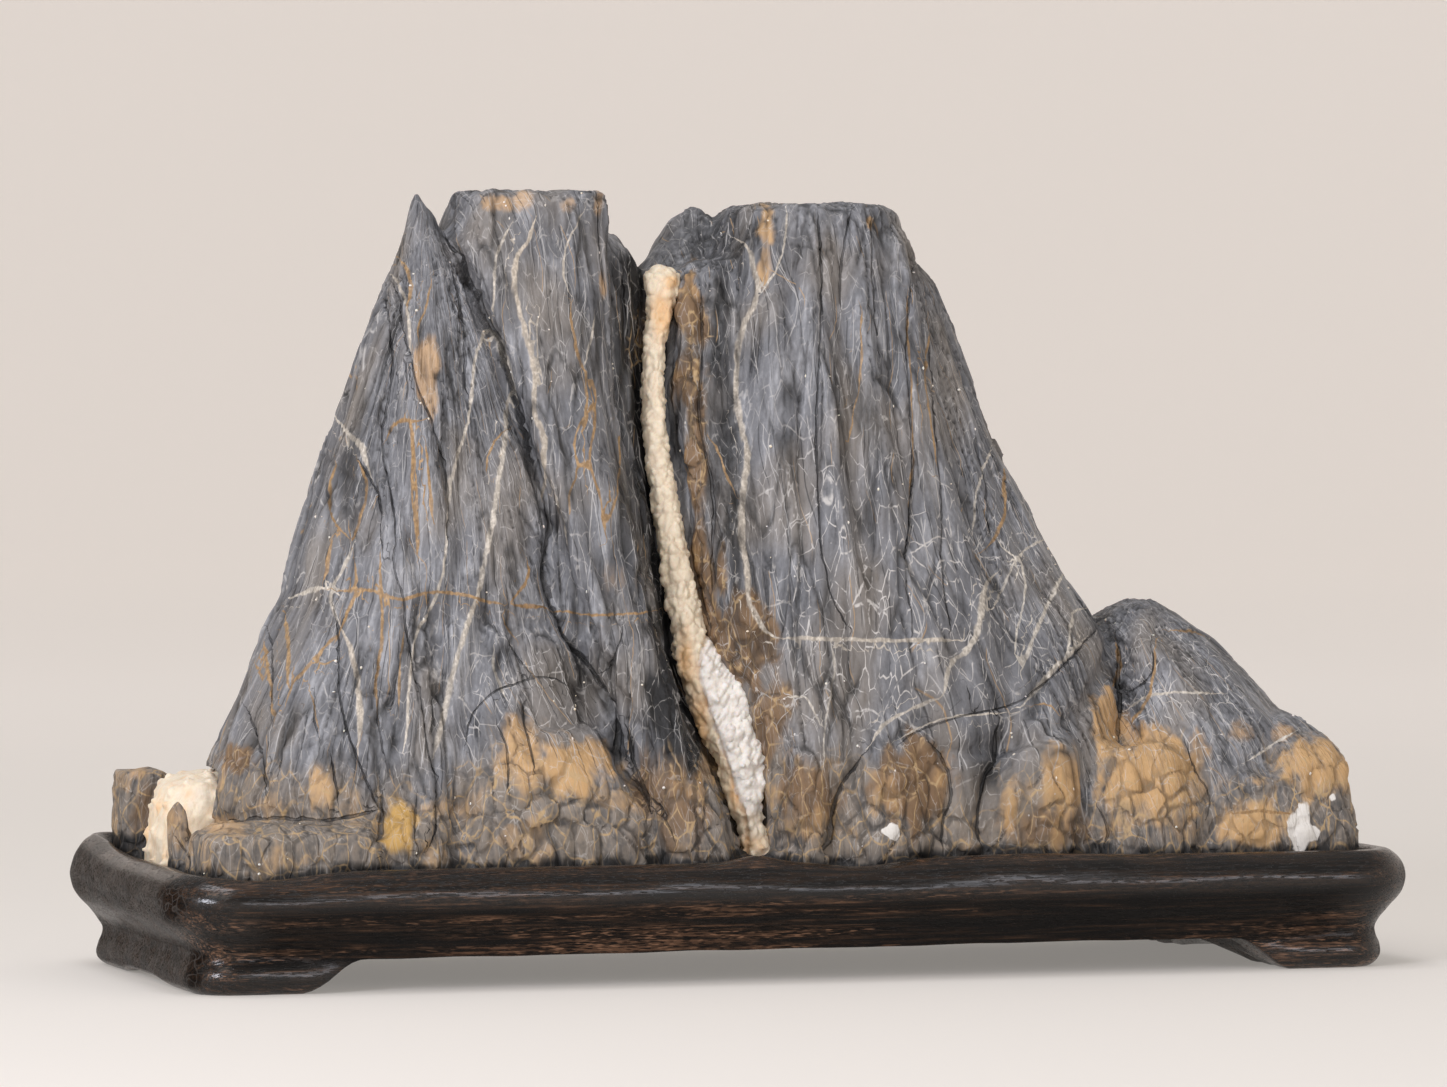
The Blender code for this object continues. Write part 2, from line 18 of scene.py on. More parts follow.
import bmesh
import bpy
import numpy as np
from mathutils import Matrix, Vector

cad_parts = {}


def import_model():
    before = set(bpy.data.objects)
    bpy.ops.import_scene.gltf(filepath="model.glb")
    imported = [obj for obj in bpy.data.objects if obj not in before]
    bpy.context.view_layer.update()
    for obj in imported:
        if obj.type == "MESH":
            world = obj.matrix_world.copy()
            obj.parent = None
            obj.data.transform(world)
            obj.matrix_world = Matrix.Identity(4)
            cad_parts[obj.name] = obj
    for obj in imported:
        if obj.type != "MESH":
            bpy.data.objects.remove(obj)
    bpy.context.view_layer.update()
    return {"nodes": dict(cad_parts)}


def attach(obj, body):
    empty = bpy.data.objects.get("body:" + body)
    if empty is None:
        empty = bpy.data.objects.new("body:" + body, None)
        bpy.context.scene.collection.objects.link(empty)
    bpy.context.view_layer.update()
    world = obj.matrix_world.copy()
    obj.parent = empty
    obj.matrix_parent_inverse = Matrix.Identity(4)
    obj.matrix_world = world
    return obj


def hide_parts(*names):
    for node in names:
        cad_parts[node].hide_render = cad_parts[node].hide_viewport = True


log = logging.getLogger("scholars_rock")

MM = 0.001

Colour = tuple[float, float, float, float]
Wire = bpy.types.NodeSocket


class Crack(NamedTuple):
    """An open crack in the front view: depth, half width and (across, up) points."""
    depth: float
    half_width: float
    points: tuple


class Vein(NamedTuple):
    """A filled vein in the front view: half width, stain from 0 to 1, (across, up) points."""
    half_width: float
    stain: float
    points: tuple


class Tone(Enum):
    """What a stain, or painted shade, turns the slate into."""
    OCHRE = "ochre"
    BROWN = "brown"
    TAN = "tan"
    GOLD = "gold"
    WHITE = "white"
    DARK = "dark"


class Crest(NamedTuple):
    """A crisp mass added to the rock: squareness and (height, left, right, front, back) rows."""
    squareness: float
    courses: tuple


class Calm(NamedTuple):
    """Where the rock is smoother: centre across and up, half sizes, and by what share."""
    across: float
    up: float
    half_across: float
    half_up: float
    share: float


class Guide(NamedTuple):
    """A line that the grain follows: the number it carries, and (height, x) points."""
    number: float
    points: tuple


# Open cracks and joints, from the left end to the right.
CRACKS = (
    Crack(1.8, 0.8, ((-14.5, 181), (-15, 154.5), (-14, 143.5), (-10.5, 127), (-9.5, 111),
        (-4, 92))),
    Crack(1.6, 0.6, ((-6, 184.5), (-5.5, 171), (-6.5, 154.5), (-3, 121.5), (-4.5, 111),
        (-4, 100))),
    Crack(2.4, 0.7, ((-76, 199.5), (-62, 168.5), (-55, 146.5), (-47.5, 115.5), (-48.5, 108),
        (-45.5, 95.5), (-38.5, 85), (-32, 72.5), (-25.5, 51.5), (-21.5, 46.5), (-20, 41.5))),
    Crack(1.6, 0.4, ((-91, 187), (-84.5, 161), (-81.5, 154), (-74.5, 130.5), (-75, 115))),
    Crack(1.6, 0.4, ((-94, 185.5), (-91, 161), (-93, 142.5), (-89.5, 121), (-90, 109.5),
        (-87.5, 101), (-87, 92.5), (-82, 72.5), (-80, 56.5), (-77.5, 51))),
    Crack(0.9, 0.3, ((-87.5, 166.5), (-87, 159), (-87, 153.5))),
    Crack(1.0, 0.35, ((-74, 190), (-72, 182), (-70, 156))),
    Crack(1.4, 0.4, ((-34, 208.5), (-31.5, 176.5), (-27, 146), (-23, 131.5), (-20, 111.5))),
    Crack(1.0, 0.4, ((-27.5, 190), (-26, 175), (-25.5, 163))),
    Crack(1.2, 0.4, ((26, 206), (27.5, 183.5), (24.5, 149.5), (26.5, 111.5))),
    Crack(1.0, 0.35, ((35, 206.5), (33, 197), (32, 187), (32, 179.5))),
    Crack(1.0, 0.3, ((40.5, 205), (41, 188), (43, 165.5))),
    Crack(1.5, 0.35, ((52.5, 191.5), (51, 179.5), (51.5, 122), (50.5, 103.5), (51.5, 96.5))),
    Crack(1.1, 0.3, ((56.5, 170), (60, 123), (60.5, 103.5), (62.5, 91))),
    Crack(0.8, 0.3, ((68.5, 145), (72, 131), (73, 117.5))),
    Crack(1.2, 0.32, ((102.5, 92.5), (97, 86), (83, 73.5), (58.5, 66), (51.5, 63), (48.5, 60.5))),
    Crack(1.6, 0.45, ((107, 89), (108.5, 75.5), (108.5, 60.5))),
    Crack(1.0, 0.3, ((108.5, 75.5), (113, 76), (116.5, 79), (117, 88.5))),
    Crack(1.8, 0.5, ((56, 61.5), (60, 57.5), (62.5, 48), (60, 35.5), (60, 31))),
    Crack(1.8, 0.6, ((75.5, 67.5), (75, 60.5), (70, 39.5), (70.5, 31.5))),
    Crack(1.4, 0.5, ((102.5, 43), (104.5, 38), (104, 32))),
    Crack(2.4, 0.7, ((38.5, 58), (31.5, 47), (30, 35.5), (27.5, 28.5))),
    Crack(1.0, 0.32, ((-70.5, 60), (-69, 68.5), (-60, 76), (-51, 78.5), (-46, 78.5), (-42.5, 76))),
    Crack(1.4, 0.45, ((-54, 73), (-53.5, 64), (-52, 56.5), (-52, 53.5))),
    Crack(1.2, 0.4, ((-61.5, 66), (-59.5, 60), (-59, 48))),
    Crack(2.4, 0.9, ((-93, 48), (-93.5, 38), (-93, 31))),
    Crack(2.0, 0.7, ((-78, 48), (-77.5, 42), (-80, 33))),
    Crack(1.4, 0.45, ((-84, 46.5), (-84, 41), (-83.5, 31.5))),
    Crack(1.0, 0.35, ((-18.5, 41.5), (-15.5, 39), (-13.5, 34.5))),
    Crack(1.4, 0.4, ((-106.5, 98.5), (-104, 68.5), (-94, 42.5))),
    Crack(1.4, 0.45, ((-130.5, 70.5), (-127, 56.5), (-125.5, 47.5))),
    Crack(1.0, 0.4, ((-121, 59.5), (-121.5, 52.5))),
    Crack(1.4, 0.45, ((-107.5, 57.5), (-106.5, 52.5), (-105.5, 44.5))),
    Crack(1.2, 0.35, ((-94.5, 74), (-94.5, 70), (-92, 56.5))),
    Crack(1.6, 0.5, ((-145.5, 36.5), (-135, 40), (-104.5, 41), (-94, 42.5))),
    Crack(1.2, 0.4, ((-149.5, 35), (-147, 31), (-146.5, 24))),
    Crack(0.9, 0.3, ((-125.5, 93), (-124, 87), (-123.5, 79), (-124, 70))),
    Crack(0.9, 0.3, ((-112, 74), (-112, 66), (-111, 62.5))),
    Crack(1.4, 0.4, ((-100, 138.5), (-96.5, 132.5), (-94.5, 126.5), (-94.5, 119.5), (-93, 112))),
    Crack(0.9, 0.3, ((-73.5, 184), (-72, 178), (-71.5, 171.5))),
    Crack(1.0, 0.35, ((-59, 89.5), (-53.5, 81), (-51, 78.5))),
    Crack(0.9, 0.3, ((-27.5, 92.5), (-29, 87), (-31, 83), (-33.5, 80))),
    Crack(1.2, 0.4, ((-27, 66.5), (-24.5, 55), (-21, 47), (-16.5, 41.5), (-15.5, 38))),
    Crack(1.0, 0.35, ((67, 75.5), (68, 70.5))),
    Crack(0.8, 0.3, ((26, 116.5), (30.5, 99), (34, 92.5))),
    Crack(0.9, 0.3, ((126.5, 60.5), (130, 51.5), (133, 46.5), (132, 39.5))),
)

# Veins of white calcite.
PALE_VEINS = (
    Vein(0.45, 0.1, ((-58.5, 202.5), (-61.5, 195.5), (-64, 176), (-66.5, 170), (-70.5, 146),
        (-73, 138.5), (-75, 121), (-79, 100), (-81.5, 95.5), (-87.5, 59))),
    Vein(0.75, 0.25, ((-51.5, 205), (-52.5, 200.5), (-55.5, 195.5), (-51.5, 159.5), (-51.5, 151),
        (-49.5, 145.5), (-49.5, 129))),
    Vein(0.75, 0.1, ((-58.5, 157.5), (-63, 122), (-66.5, 105), (-72, 87), (-79, 57.5))),
    Vein(0.7, 0.0, ((-65, 175), (-58.5, 159.5), (-57.5, 154))),
    Vein(0.3, 0.1, ((-35, 177.5), (-36.5, 170.5), (-38, 163))),
    Vein(0.3, 0.1, ((-38, 206.5), (-43.5, 194.5), (-43.5, 188), (-42, 183.5))),
    Vein(0.25, 0.1, ((-50.5, 179.5), (-51, 170), (-49.5, 159.5))),
    Vein(0.25, 0.1, ((-46.5, 129.5), (-44.5, 123.5), (-43, 115.5))),
    Vein(0.9, 0.15, ((3.5, 198.5), (6.5, 196.5), (8, 192.5), (9, 182), (5, 174), (3.5, 163),
        (3.5, 156), (6.5, 137), (5.5, 130.5), (5.5, 114), (11.5, 92), (15, 89.5))),
    Vein(0.3, 0.0, ((17.5, 206), (15, 191.5), (10, 183.5))),
    Vein(0.6, 0.15, ((15, 89.5), (41.5, 89), (64.5, 89))),
    Vein(0.9, 0.05, ((74.5, 107.5), (72.5, 105), (70.5, 99), (69, 90.5), (66.5, 86), (62, 82),
        (60, 74))),
    Vein(0.5, 0.05, ((60, 74), (42, 63.5), (40, 60))),
    Vein(0.55, 0.0, ((93.5, 108.5), (86.5, 93.5), (81.5, 80.5))),
    Vein(0.8, 0.0, ((99.5, 89.5), (90.5, 81), (81.5, 70.5))),
    Vein(0.35, 0.0, ((99.5, 97.5), (96.5, 97), (94.5, 87), (92.5, 82.5))),
    Vein(0.35, 0.0, ((88.5, 116.5), (83.5, 114.5), (76.5, 103.5), (74, 97.5))),
    Vein(0.3, 0.0, ((73, 141.5), (69, 127), (68.5, 119))),
    Vein(0.3, 0.0, ((81.5, 111), (82.5, 101.5), (80.5, 92.5), (79.5, 84))),
    Vein(0.25, 0.0, ((81.5, 111), (77, 113.5), (74.5, 117))),
    Vein(0.35, 0.05, ((109.5, 70), (113.5, 72.5), (135.5, 74.5))),
    Vein(0.35, 0.0, ((143.5, 56), (153, 62), (156.5, 64))),
    Vein(1.6, 0.05, ((-118.5, 100.5), (-110.5, 103), (-106, 102.5))),
    Vein(0.45, 0.05, ((-101, 115.5), (-107, 98.5), (-105, 93))),
    Vein(0.8, 0.2, ((-105, 93), (-103, 89), (-99.5, 66), (-100, 59.5))),
    Vein(1.1, 0.05, ((-105.5, 150), (-103, 145.5), (-99.5, 142.5), (-96.5, 133.5))),
    Vein(0.5, 0.1, ((-91.5, 189.5), (-88, 184), (-85.5, 165.5))),
    Vein(0.3, 0.0, ((30, 87.5), (30.5, 79.5), (27.5, 64.5), (27.5, 55.5))),
    Vein(0.3, 0.05, ((17, 73), (22, 73.5), (26.5, 65.5))),
    Vein(0.4, 0.0, ((-63, 87.5), (-63, 82.5), (-59.5, 73))),
    Vein(0.3, 0.05, ((48.5, 62), (53.5, 65), (61.5, 67.5), (77, 69))),
)

# Veins stained tan and orange by iron.
STAINED_VEINS = (
    Vein(0.4, 0.8, ((-42, 179.5), (-40, 167), (-35.5, 157.5), (-35, 149.5), (-36.5, 136),
        (-34, 129.5), (-32, 117))),
    Vein(0.3, 0.6, ((-38, 163), (-37.5, 152), (-41, 142.5), (-39.5, 137), (-42, 129), (-42, 122))),
    Vein(0.3, 0.6, ((-27.5, 148), (-30, 125.5), (-32.5, 119))),
    Vein(0.3, 0.6, ((-80, 187.5), (-81.5, 179.5), (-83.5, 174), (-83, 170))),
    Vein(0.6, 0.5, ((-89, 193.5), (-86.5, 190), (-85.5, 185.5), (-86, 179.5))),
    Vein(0.6, 0.8, ((-92, 144), (-90.5, 147.5), (-81.5, 149.5))),
    Vein(0.45, 0.6, ((-101, 111), (-100, 104.5), (-102.5, 97), (-109, 87), (-118, 76.5),
        (-120, 71))),
    Vein(0.4, 0.6, ((-94, 112.5), (-93.5, 87), (-95, 74.5), (-94, 68.5))),
    Vein(0.55, 0.5, ((-120, 96.5), (-119, 90), (-119, 75))),
    Vein(0.4, 0.6, ((-125.5, 88.5), (-124, 76.5), (-123, 66))),
    Vein(0.3, 0.3, ((-112, 83), (-108.5, 82.5), (-106, 84))),
    Vein(0.5, 0.8, ((-128.5, 83), (-127, 81), (-126, 78))),
    Vein(0.3, 0.5, ((-113, 75), (-112, 70), (-111, 64.5))),
    Vein(0.3, 0.4, ((-87.5, 91), (-88.5, 83), (-88.5, 70))),
    Vein(0.4, 0.7, ((-106.5, 116.5), (-107.5, 112.5), (-109, 104.5))),
    Vein(0.5, 0.6, ((-106, 102.5), (-96, 102.5), (-88, 100), (-83, 101.5), (-59, 98.5))),
    Vein(0.9, 1.0, ((-59, 98.5), (-51, 98), (-47, 97.5))),
    Vein(0.35, 0.7, ((-47, 97.5), (-37.5, 96), (-27.5, 96), (-19, 97))),
    Vein(0.4, 0.7, ((-60.5, 96), (-59, 92.5), (-57, 89.5))),
    Vein(0.4, 0.8, ((-53.5, 110.5), (-53, 107), (-55.5, 102.5), (-59, 98.5))),
    Vein(0.3, 0.7, ((50.5, 183.5), (51.5, 156), (51, 122))),
    Vein(0.3, 0.6, ((56.5, 174), (55.5, 163), (58.5, 136))),
    Vein(0.3, 0.6, ((38, 179.5), (37, 159), (34, 142.5))),
    Vein(0.5, 0.7, ((77.5, 137.5), (76.5, 131), (77, 125.5), (74.5, 117.5), (71, 113.5))),
    Vein(0.3, 0.6, ((-3, 144), (-0.5, 138.5), (1, 133), (3.5, 128.5))),
    Vein(0.5, 0.6, ((122, 91.5), (126.5, 91.5), (132, 90))),
    Vein(0.5, 0.9, ((107, 88.5), (108, 79.5), (107, 76))),
    Vein(0.5, 0.7, ((118, 87.5), (117, 76), (113.5, 69), (111, 65.5))),
    Vein(0.5, 0.9, ((139, 41.5), (146, 42), (156.5, 41.5))),
    Vein(0.3, 0.6, ((85, 71.5), (89, 71.5), (91.5, 68.5))),
    Vein(0.35, 0.7, ((-106.5, 138.5), (-108, 124), (-102.5, 116.5))),
    Vein(0.4, 0.7, ((-100, 138), (-98, 134), (-98, 129), (-101.5, 115.5))),
    Vein(0.35, 0.7, ((-81, 138), (-80, 130.5), (-79.5, 122.5))),
    Vein(0.35, 0.7, ((-85, 148.5), (-85.5, 141), (-83.5, 112))),
    Vein(0.4, 0.8, ((-86, 149.5), (-84.5, 139), (-83.5, 111.5))),
    Vein(0.4, 0.8, ((-81.5, 142.5), (-80.5, 132.5), (-79.5, 121))),
    Vein(0.3, 0.7, ((-65, 134.5), (-64.5, 139), (-62, 144), (-59, 146.5))),
)

# The grain's lines, from the left end to the right.
GRAIN_GUIDES = (
    Guide(-150, ((210, -92), (170, -105), (133, -117), (104, -125), (92, -130), (69, -141),
                 (50, -148), (22, -151))),
    Guide(-60, ((199, -86), (177, -79), (152, -71), (128, -64), (106, -59), (80, -50), (56, -38),
                (35, -29), (22, -26))),
    Guide(-30, ((205, -38), (190, -31), (160, -34), (138, -33), (101, -30.5), (74, -27),
                (53, -18), (35, -13), (22, -12))),
    Guide(-20, ((190, -20), (160, -25), (138, -25), (106, -21), (88, -17), (76, -6.5), (53, -5),
                (22, -5))),
    Guide(0, ((207, 0), (190, -3), (150, -4), (120, -2), (90, -2), (60, 2), (22, 4))),
    Guide(28, ((207, 28), (22, 30))),
    Guide(48, ((205, 45), (174, 48), (142, 53), (110, 61), (88, 70), (60, 82), (22, 88))),
    Guide(100, ((199, 47), (186, 56), (172, 62), (142, 73), (114, 89), (92, 103), (60, 112),
                (22, 118))),
    Guide(120, ((95, 112), (60, 128), (22, 135))),
    Guide(170, ((98, 118), (82, 139), (66, 152), (50, 161), (22, 164))),
)

# The crease where the leaning grain at the left meets upright grain: (across, up).
FAULT = (
    (-74, 215), (-73.5, 194.5), (-68.5, 182.5), (-62, 168.5), (-56.5, 151), (-53, 138),
    (-49.5, 122), (-48.5, 108), (-45.5, 95.5), (-38.5, 85), (-32, 72.5), (-27.5, 60),
    (-21.5, 46.5), (-20, 20))

# Crisp tops: the left spire's tip, the slab at the back left and the block in front of it.
CRESTS = (
    Crest(2.4, ((186, -97.5, -78, -14, 12), (196, -95, -84.5, -10, 7), (203, -93.8, -87.5, -7, 3.5),
                (207.5, -93, -89.6, -5, 1), (210.3, -92, -91, -2.8, -1.2))),
    Crest(9.0, ((26, -163.4, -153, 40, 55), (52.4, -163, -152, 40, 54.5),
                (53.4, -162.4, -152.6, 40.6, 54))),
    Crest(7.0, ((24, -162.6, -113, -57, -28), (39.6, -162.2, -113, -56.4, -28),
                (41.6, -160.4, -114, -54.6, -28))),
)

# Where the rock is smooth between its lines.
CALM = (
    Calm(-83.7, 208, 9, 16, 0.95), Calm(-42, 154, 20, 58, 0.6), Calm(-66, 127, 12, 40, 0.45),
    Calm(34, 141, 38, 52, 0.4), Calm(-129, 31, 30, 10, 0.7), Calm(-157, 45, 12, 18, 0.8),
    Calm(130, 62, 32, 34, 0.35), Calm(78, 100, 30, 30, 0.3))

# How high the stained, plated foot of the rock reaches, as (across, up).
FOOT_TOP = (
    (-181, 59.5), (-136, 60), (-127, 58.5), (-108, 58.5), (-94, 53.5), (-78, 52), (-64, 61),
    (-56, 65), (-45, 59.5), (-34, 56), (-23, 58.5), (-6, 60), (6, 75), (13, 75), (18, 58.5),
    (40, 58.5), (52, 61), (62, 53.5), (71, 48), (78, 56.5), (92, 59.5), (99, 43.5), (103, 63),
    (125, 65.5), (134, 50.5), (141, 54.5), (155, 61), (185, 61))

# Where hairlines crowd into a web: across, up, how far it spreads each way, and how thickly.
WEB_THICK = (
    (62, 104, 34, 30, 0.6), (30, 115, 22, 40, 0.35), (128, 76, 17, 18, 0.8),
    (-42, 160, 16, 45, 0.25), (-60, 75, 30, 16, 0.35), (30, 78, 40, 12, 0.45))

# The calcite rope from its top down: height, middle x and y, half width and half depth.
ROPE_BEADS = (
    (192, -23.6, -4.3, 4.0, 3.0), (188.8, -23.5, -4.8, 5.9, 3.9), (184.4, -23.5, -5.9, 5.1, 4.2),
    (178.5, -24.5, -7.3, 4.1, 4.4), (171, -26.4, -9, 3.5, 4.4), (160, -27.7, -11.5, 3.4, 4.4),
    (149.5, -28.2, -13.7, 3.5, 4.4), (138.5, -27.7, -16, 3.8, 4.4),
    (127.5, -26.3, -18.4, 4.3, 4.4), (114.5, -25.3, -21.3, 4.6, 4.4), (101, -23.4, -24.2, 5.0, 4.6),
    (90, -21.6, -26.2, 5.5, 4.9), (83.4, -19.1, -27.4, 7.2, 5.2), (77, -16.0, -28.8, 9.0, 5.6),
    (66, -11.6, -30.8, 9.4, 5.8), (57.5, -9.6, -32.4, 7.9, 5.6), (50.5, -9.6, -34.4, 6.2, 5.2),
    (44.5, -9.4, -36.8, 4.7, 4.6), (39, -8.2, -38.4, 4.1, 4.2), (34, -7.0, -39.6, 4.6, 4.0),
    (30, -6.6, -40, 4.6, 3.8))

# The crease down the rope's foot, with a chalky lobe to the right of it: (across, up).
ROPE_CREASE = ((-4.4, 90), (-6.2, 85), (-7.0, 80.8), (-5.6, 74), (-2.7, 65.7), (-0.2, 59),
               (2.3, 50.6), (5.2, 43), (6.4, 37))

# Where the rope is amber: across, up, and how far that spreads each way.
AMBER_SPOTS = (
    (-16.5, 178, 4.5, 8), (-14, 187, 2, 2), (-6.5, 66, 3, 11), (-10.5, 84, 2.5, 9),
    (3, 47, 2.5, 6), (9, 33, 5, 4))

# The calcite pocket from its foot up: height, left, right, front and back.
POCKET_COURSES = (
    (26, -161, -138, -5, 37), (38, -160, -138, -3, 37), (46, -158, -138.5, 0, 36.5),
    (52, -154.5, -139, 3, 35.5), (55, -150, -140, 7, 34))

# The stand's moulding, from its foot up over the rim and into the seat: height and inset.
STAND_PROFILE = (
    (0, 9.8), (0.9, 8.6), (2.4, 7.5), (4.2, 7.0), (6.2, 7.4), (8.4, 8.5), (10.6, 8.8),
    (12.8, 7.5), (15.6, 5.0), (18.6, 2.5), (21.6, 0.7), (24.4, 0), (27.2, 0.6), (29.4, 1.8),
    (31.2, 3.8), (32.2, 6.2), (31.8, 8.6), (30.2, 10.0), (26.6, 10.4))

# Where the rim rises or dips: place, how far it spreads, and how much.
RIM_SWELLS = (
    ((-164, 56), 26, 3.6), ((-150, -60), 16, -2.2), ((-15, -60), 7, 2.0), ((14, -60), 12, -1.8),
    ((60, -60), 26, 0.8), ((158, 52), 24, 1.6))

# Oval stains and patches of painted shade in the front view, by tone: centre across and up, half
# sizes, strength.
STAINS = {
    Tone.TAN: (
        (-80.5, 162.5, 3.5, 9.5, 1), (-62, 208.5, 4.5, 2.5, 0.8), (-54.5, 209, 3, 3, 0.7),
        (-42.5, 208, 2, 2.5, 0.6), (-34, 209, 1.5, 3.5, 0.7), (-32.5, 186.5, 1.5, 3.5, 0.9),
        (-137.5, 38.5, 7.5, 2.5, 0.8), (-160, 53, 2.5, 2, 0.8), (141.5, 63.5, 3, 3.5, 0.7),
        (153, 63.5, 3.5, 3, 0.7)),
    Tone.OCHRE: (
        (11.5, 203, 2.5, 6, 0.8), (11, 191, 2, 6.5, 0.7), (40.5, 203.5, 1, 2, 1),
        (-55.5, 58, 7, 10.5, 0.7), (-41, 54, 10.5, 7, 1), (-5, 54, 4, 9, 0.5),
        (-110.5, 48, 5, 6, 0.7), (79, 43, 4, 8, 0.7), (92, 50, 6, 10, 0.75),
        (104.5, 65.5, 4.5, 10.5, 1), (117.5, 52.5, 14, 12.5, 1), (163, 54.5, 10.5, 8.5, 0.9),
        (145, 38, 9, 6, 1), (-28.5, 105.5, 6, 5.5, 0.35)),
    Tone.BROWN: (
        (-8.5, 178.5, 5, 10.5, 1), (-9.5, 160, 4.5, 11, 0.9), (-7.5, 135.5, 3.5, 15, 1),
        (-23, 167.5, 2.5, 12, 0.9), (-7.5, 106, 4, 17, 1), (5, 89, 10.5, 11, 1.1),
        (13, 67, 5.5, 13.5, 0.8), (-0.5, 106.5, 2, 7.5, 0.8), (-14, 46.5, 11, 15, 0.7),
        (-133, 57, 4, 4, 0.9), (-155, 41, 7, 9.5, 0.6), (54.5, 49, 7, 12, 1),
        (51.5, 49.5, 10.5, 11.5, 1), (23.5, 46, 8.5, 11, 0.8), (86, 38, 14, 6, 0.7)),
    Tone.GOLD: (
        (-88, 39, 4.5, 7.5, 1),),
    Tone.WHITE: (
        (157.5, 37, 3.2, 7, 1), (161.5, 36, 3, 3, 1), (167, 46, 1.2, 1.8, 0.8),
        (45.5, 36.5, 3, 2.2, 1.2)),
    # Dark stone, with painted shade in the deep clefts, most of all beside the calcite rope.
    Tone.DARK: (
        (-24.5, 182, 2.4, 16, 1.3), (-23.5, 154, 2.4, 18, 1.3), (-20.5, 127, 2.6, 18, 1.3),
        (-17, 100, 2.8, 17, 1.3), (-15.5, 74, 6, 17, 1.3), (-2, 200, 9, 9, 0.75),
        (-9.5, 163, 4, 15, 0.45), (-8.5, 60, 2.4, 8, 1.3), (-0.5, 173, 3, 18, 1),
        (1, 148, 3, 16, 1), (3, 122, 3, 14, 0.9), (-27, 175, 3, 20.5, 1),
        (-22.5, 145.5, 1.5, 10.5, 0.9), (-22.5, 121.5, 6.5, 27.5, 0.7), (0, 165, 3, 17, 1),
        (-12.5, 63.5, 6, 11.5, 1), (-102, 132.5, 3, 11, 0.8), (2.5, 91.5, 3.5, 8, 0.5),
        (5, 190, 1.5, 5.5, 0.8), (101.5, 96, 2.5, 7, 0.6), (-38.5, 74.5, 11.5, 14.5, 0.35),
        (71, 57, 5, 11.5, 0.5), (129, 52.5, 4, 7.5, 0.25), (-0.5, 129, 6, 18.5, 0.5)),
}


def linear(code: str) -> Colour:
    """Turn an sRGB hex code into the linear colour that a shader takes.

    Args:
        code: The colour as #rrggbb.

    Returns:
        Linear red, green and blue, and an alpha of 1.
    """
    channels = []
    for start in (1, 3, 5):
        share = int(code[start:start + 2], 16) / 255
        dark = share <= 0.04045
        channels.append(share / 12.92 if dark else ((share + 0.055) / 1.055) ** 2.4)
    return (*channels, 1.0)


def add_node(tree: bpy.types.NodeTree, kind: str, inputs: dict | None = None,
             output: str | int | None = None, **settings: Any) -> Wire:
    """Add a node to a tree with its settings, its input values and the links into it.

    Args:
        tree: The node tree.
        kind: The node's type name.
        inputs: Values or wires by input name, or by place among the inputs that show.
        output: The output to hand back, by name; the first one that shows if left out.
        settings: The node's own properties.

    Returns:
        The output to wire onwards.
    """
    node = tree.nodes.new(kind)
    for name, value in settings.items():
        setattr(node, name, value)
    shown = [socket for socket in node.inputs if socket.enabled]
    for key, value in (inputs or {}).items():
        socket = shown[key] if isinstance(key, int) else node.inputs[key]
        if isinstance(value, bpy.types.NodeSocket):
            tree.links.new(value, socket)
        else:
            socket.default_value = value
    if output is not None:
        return node.outputs[output]
    return next((socket for socket in node.outputs if socket.enabled), None)


def ramp(value: np.ndarray, start: float, end: float) -> np.ndarray:
    """Ease values from 0 at start to 1 at end, whichever of the two is larger."""
    share = np.clip((value - start) / (end - start), 0.0, 1.0)
    return share * share * (3.0 - 2.0 * share)


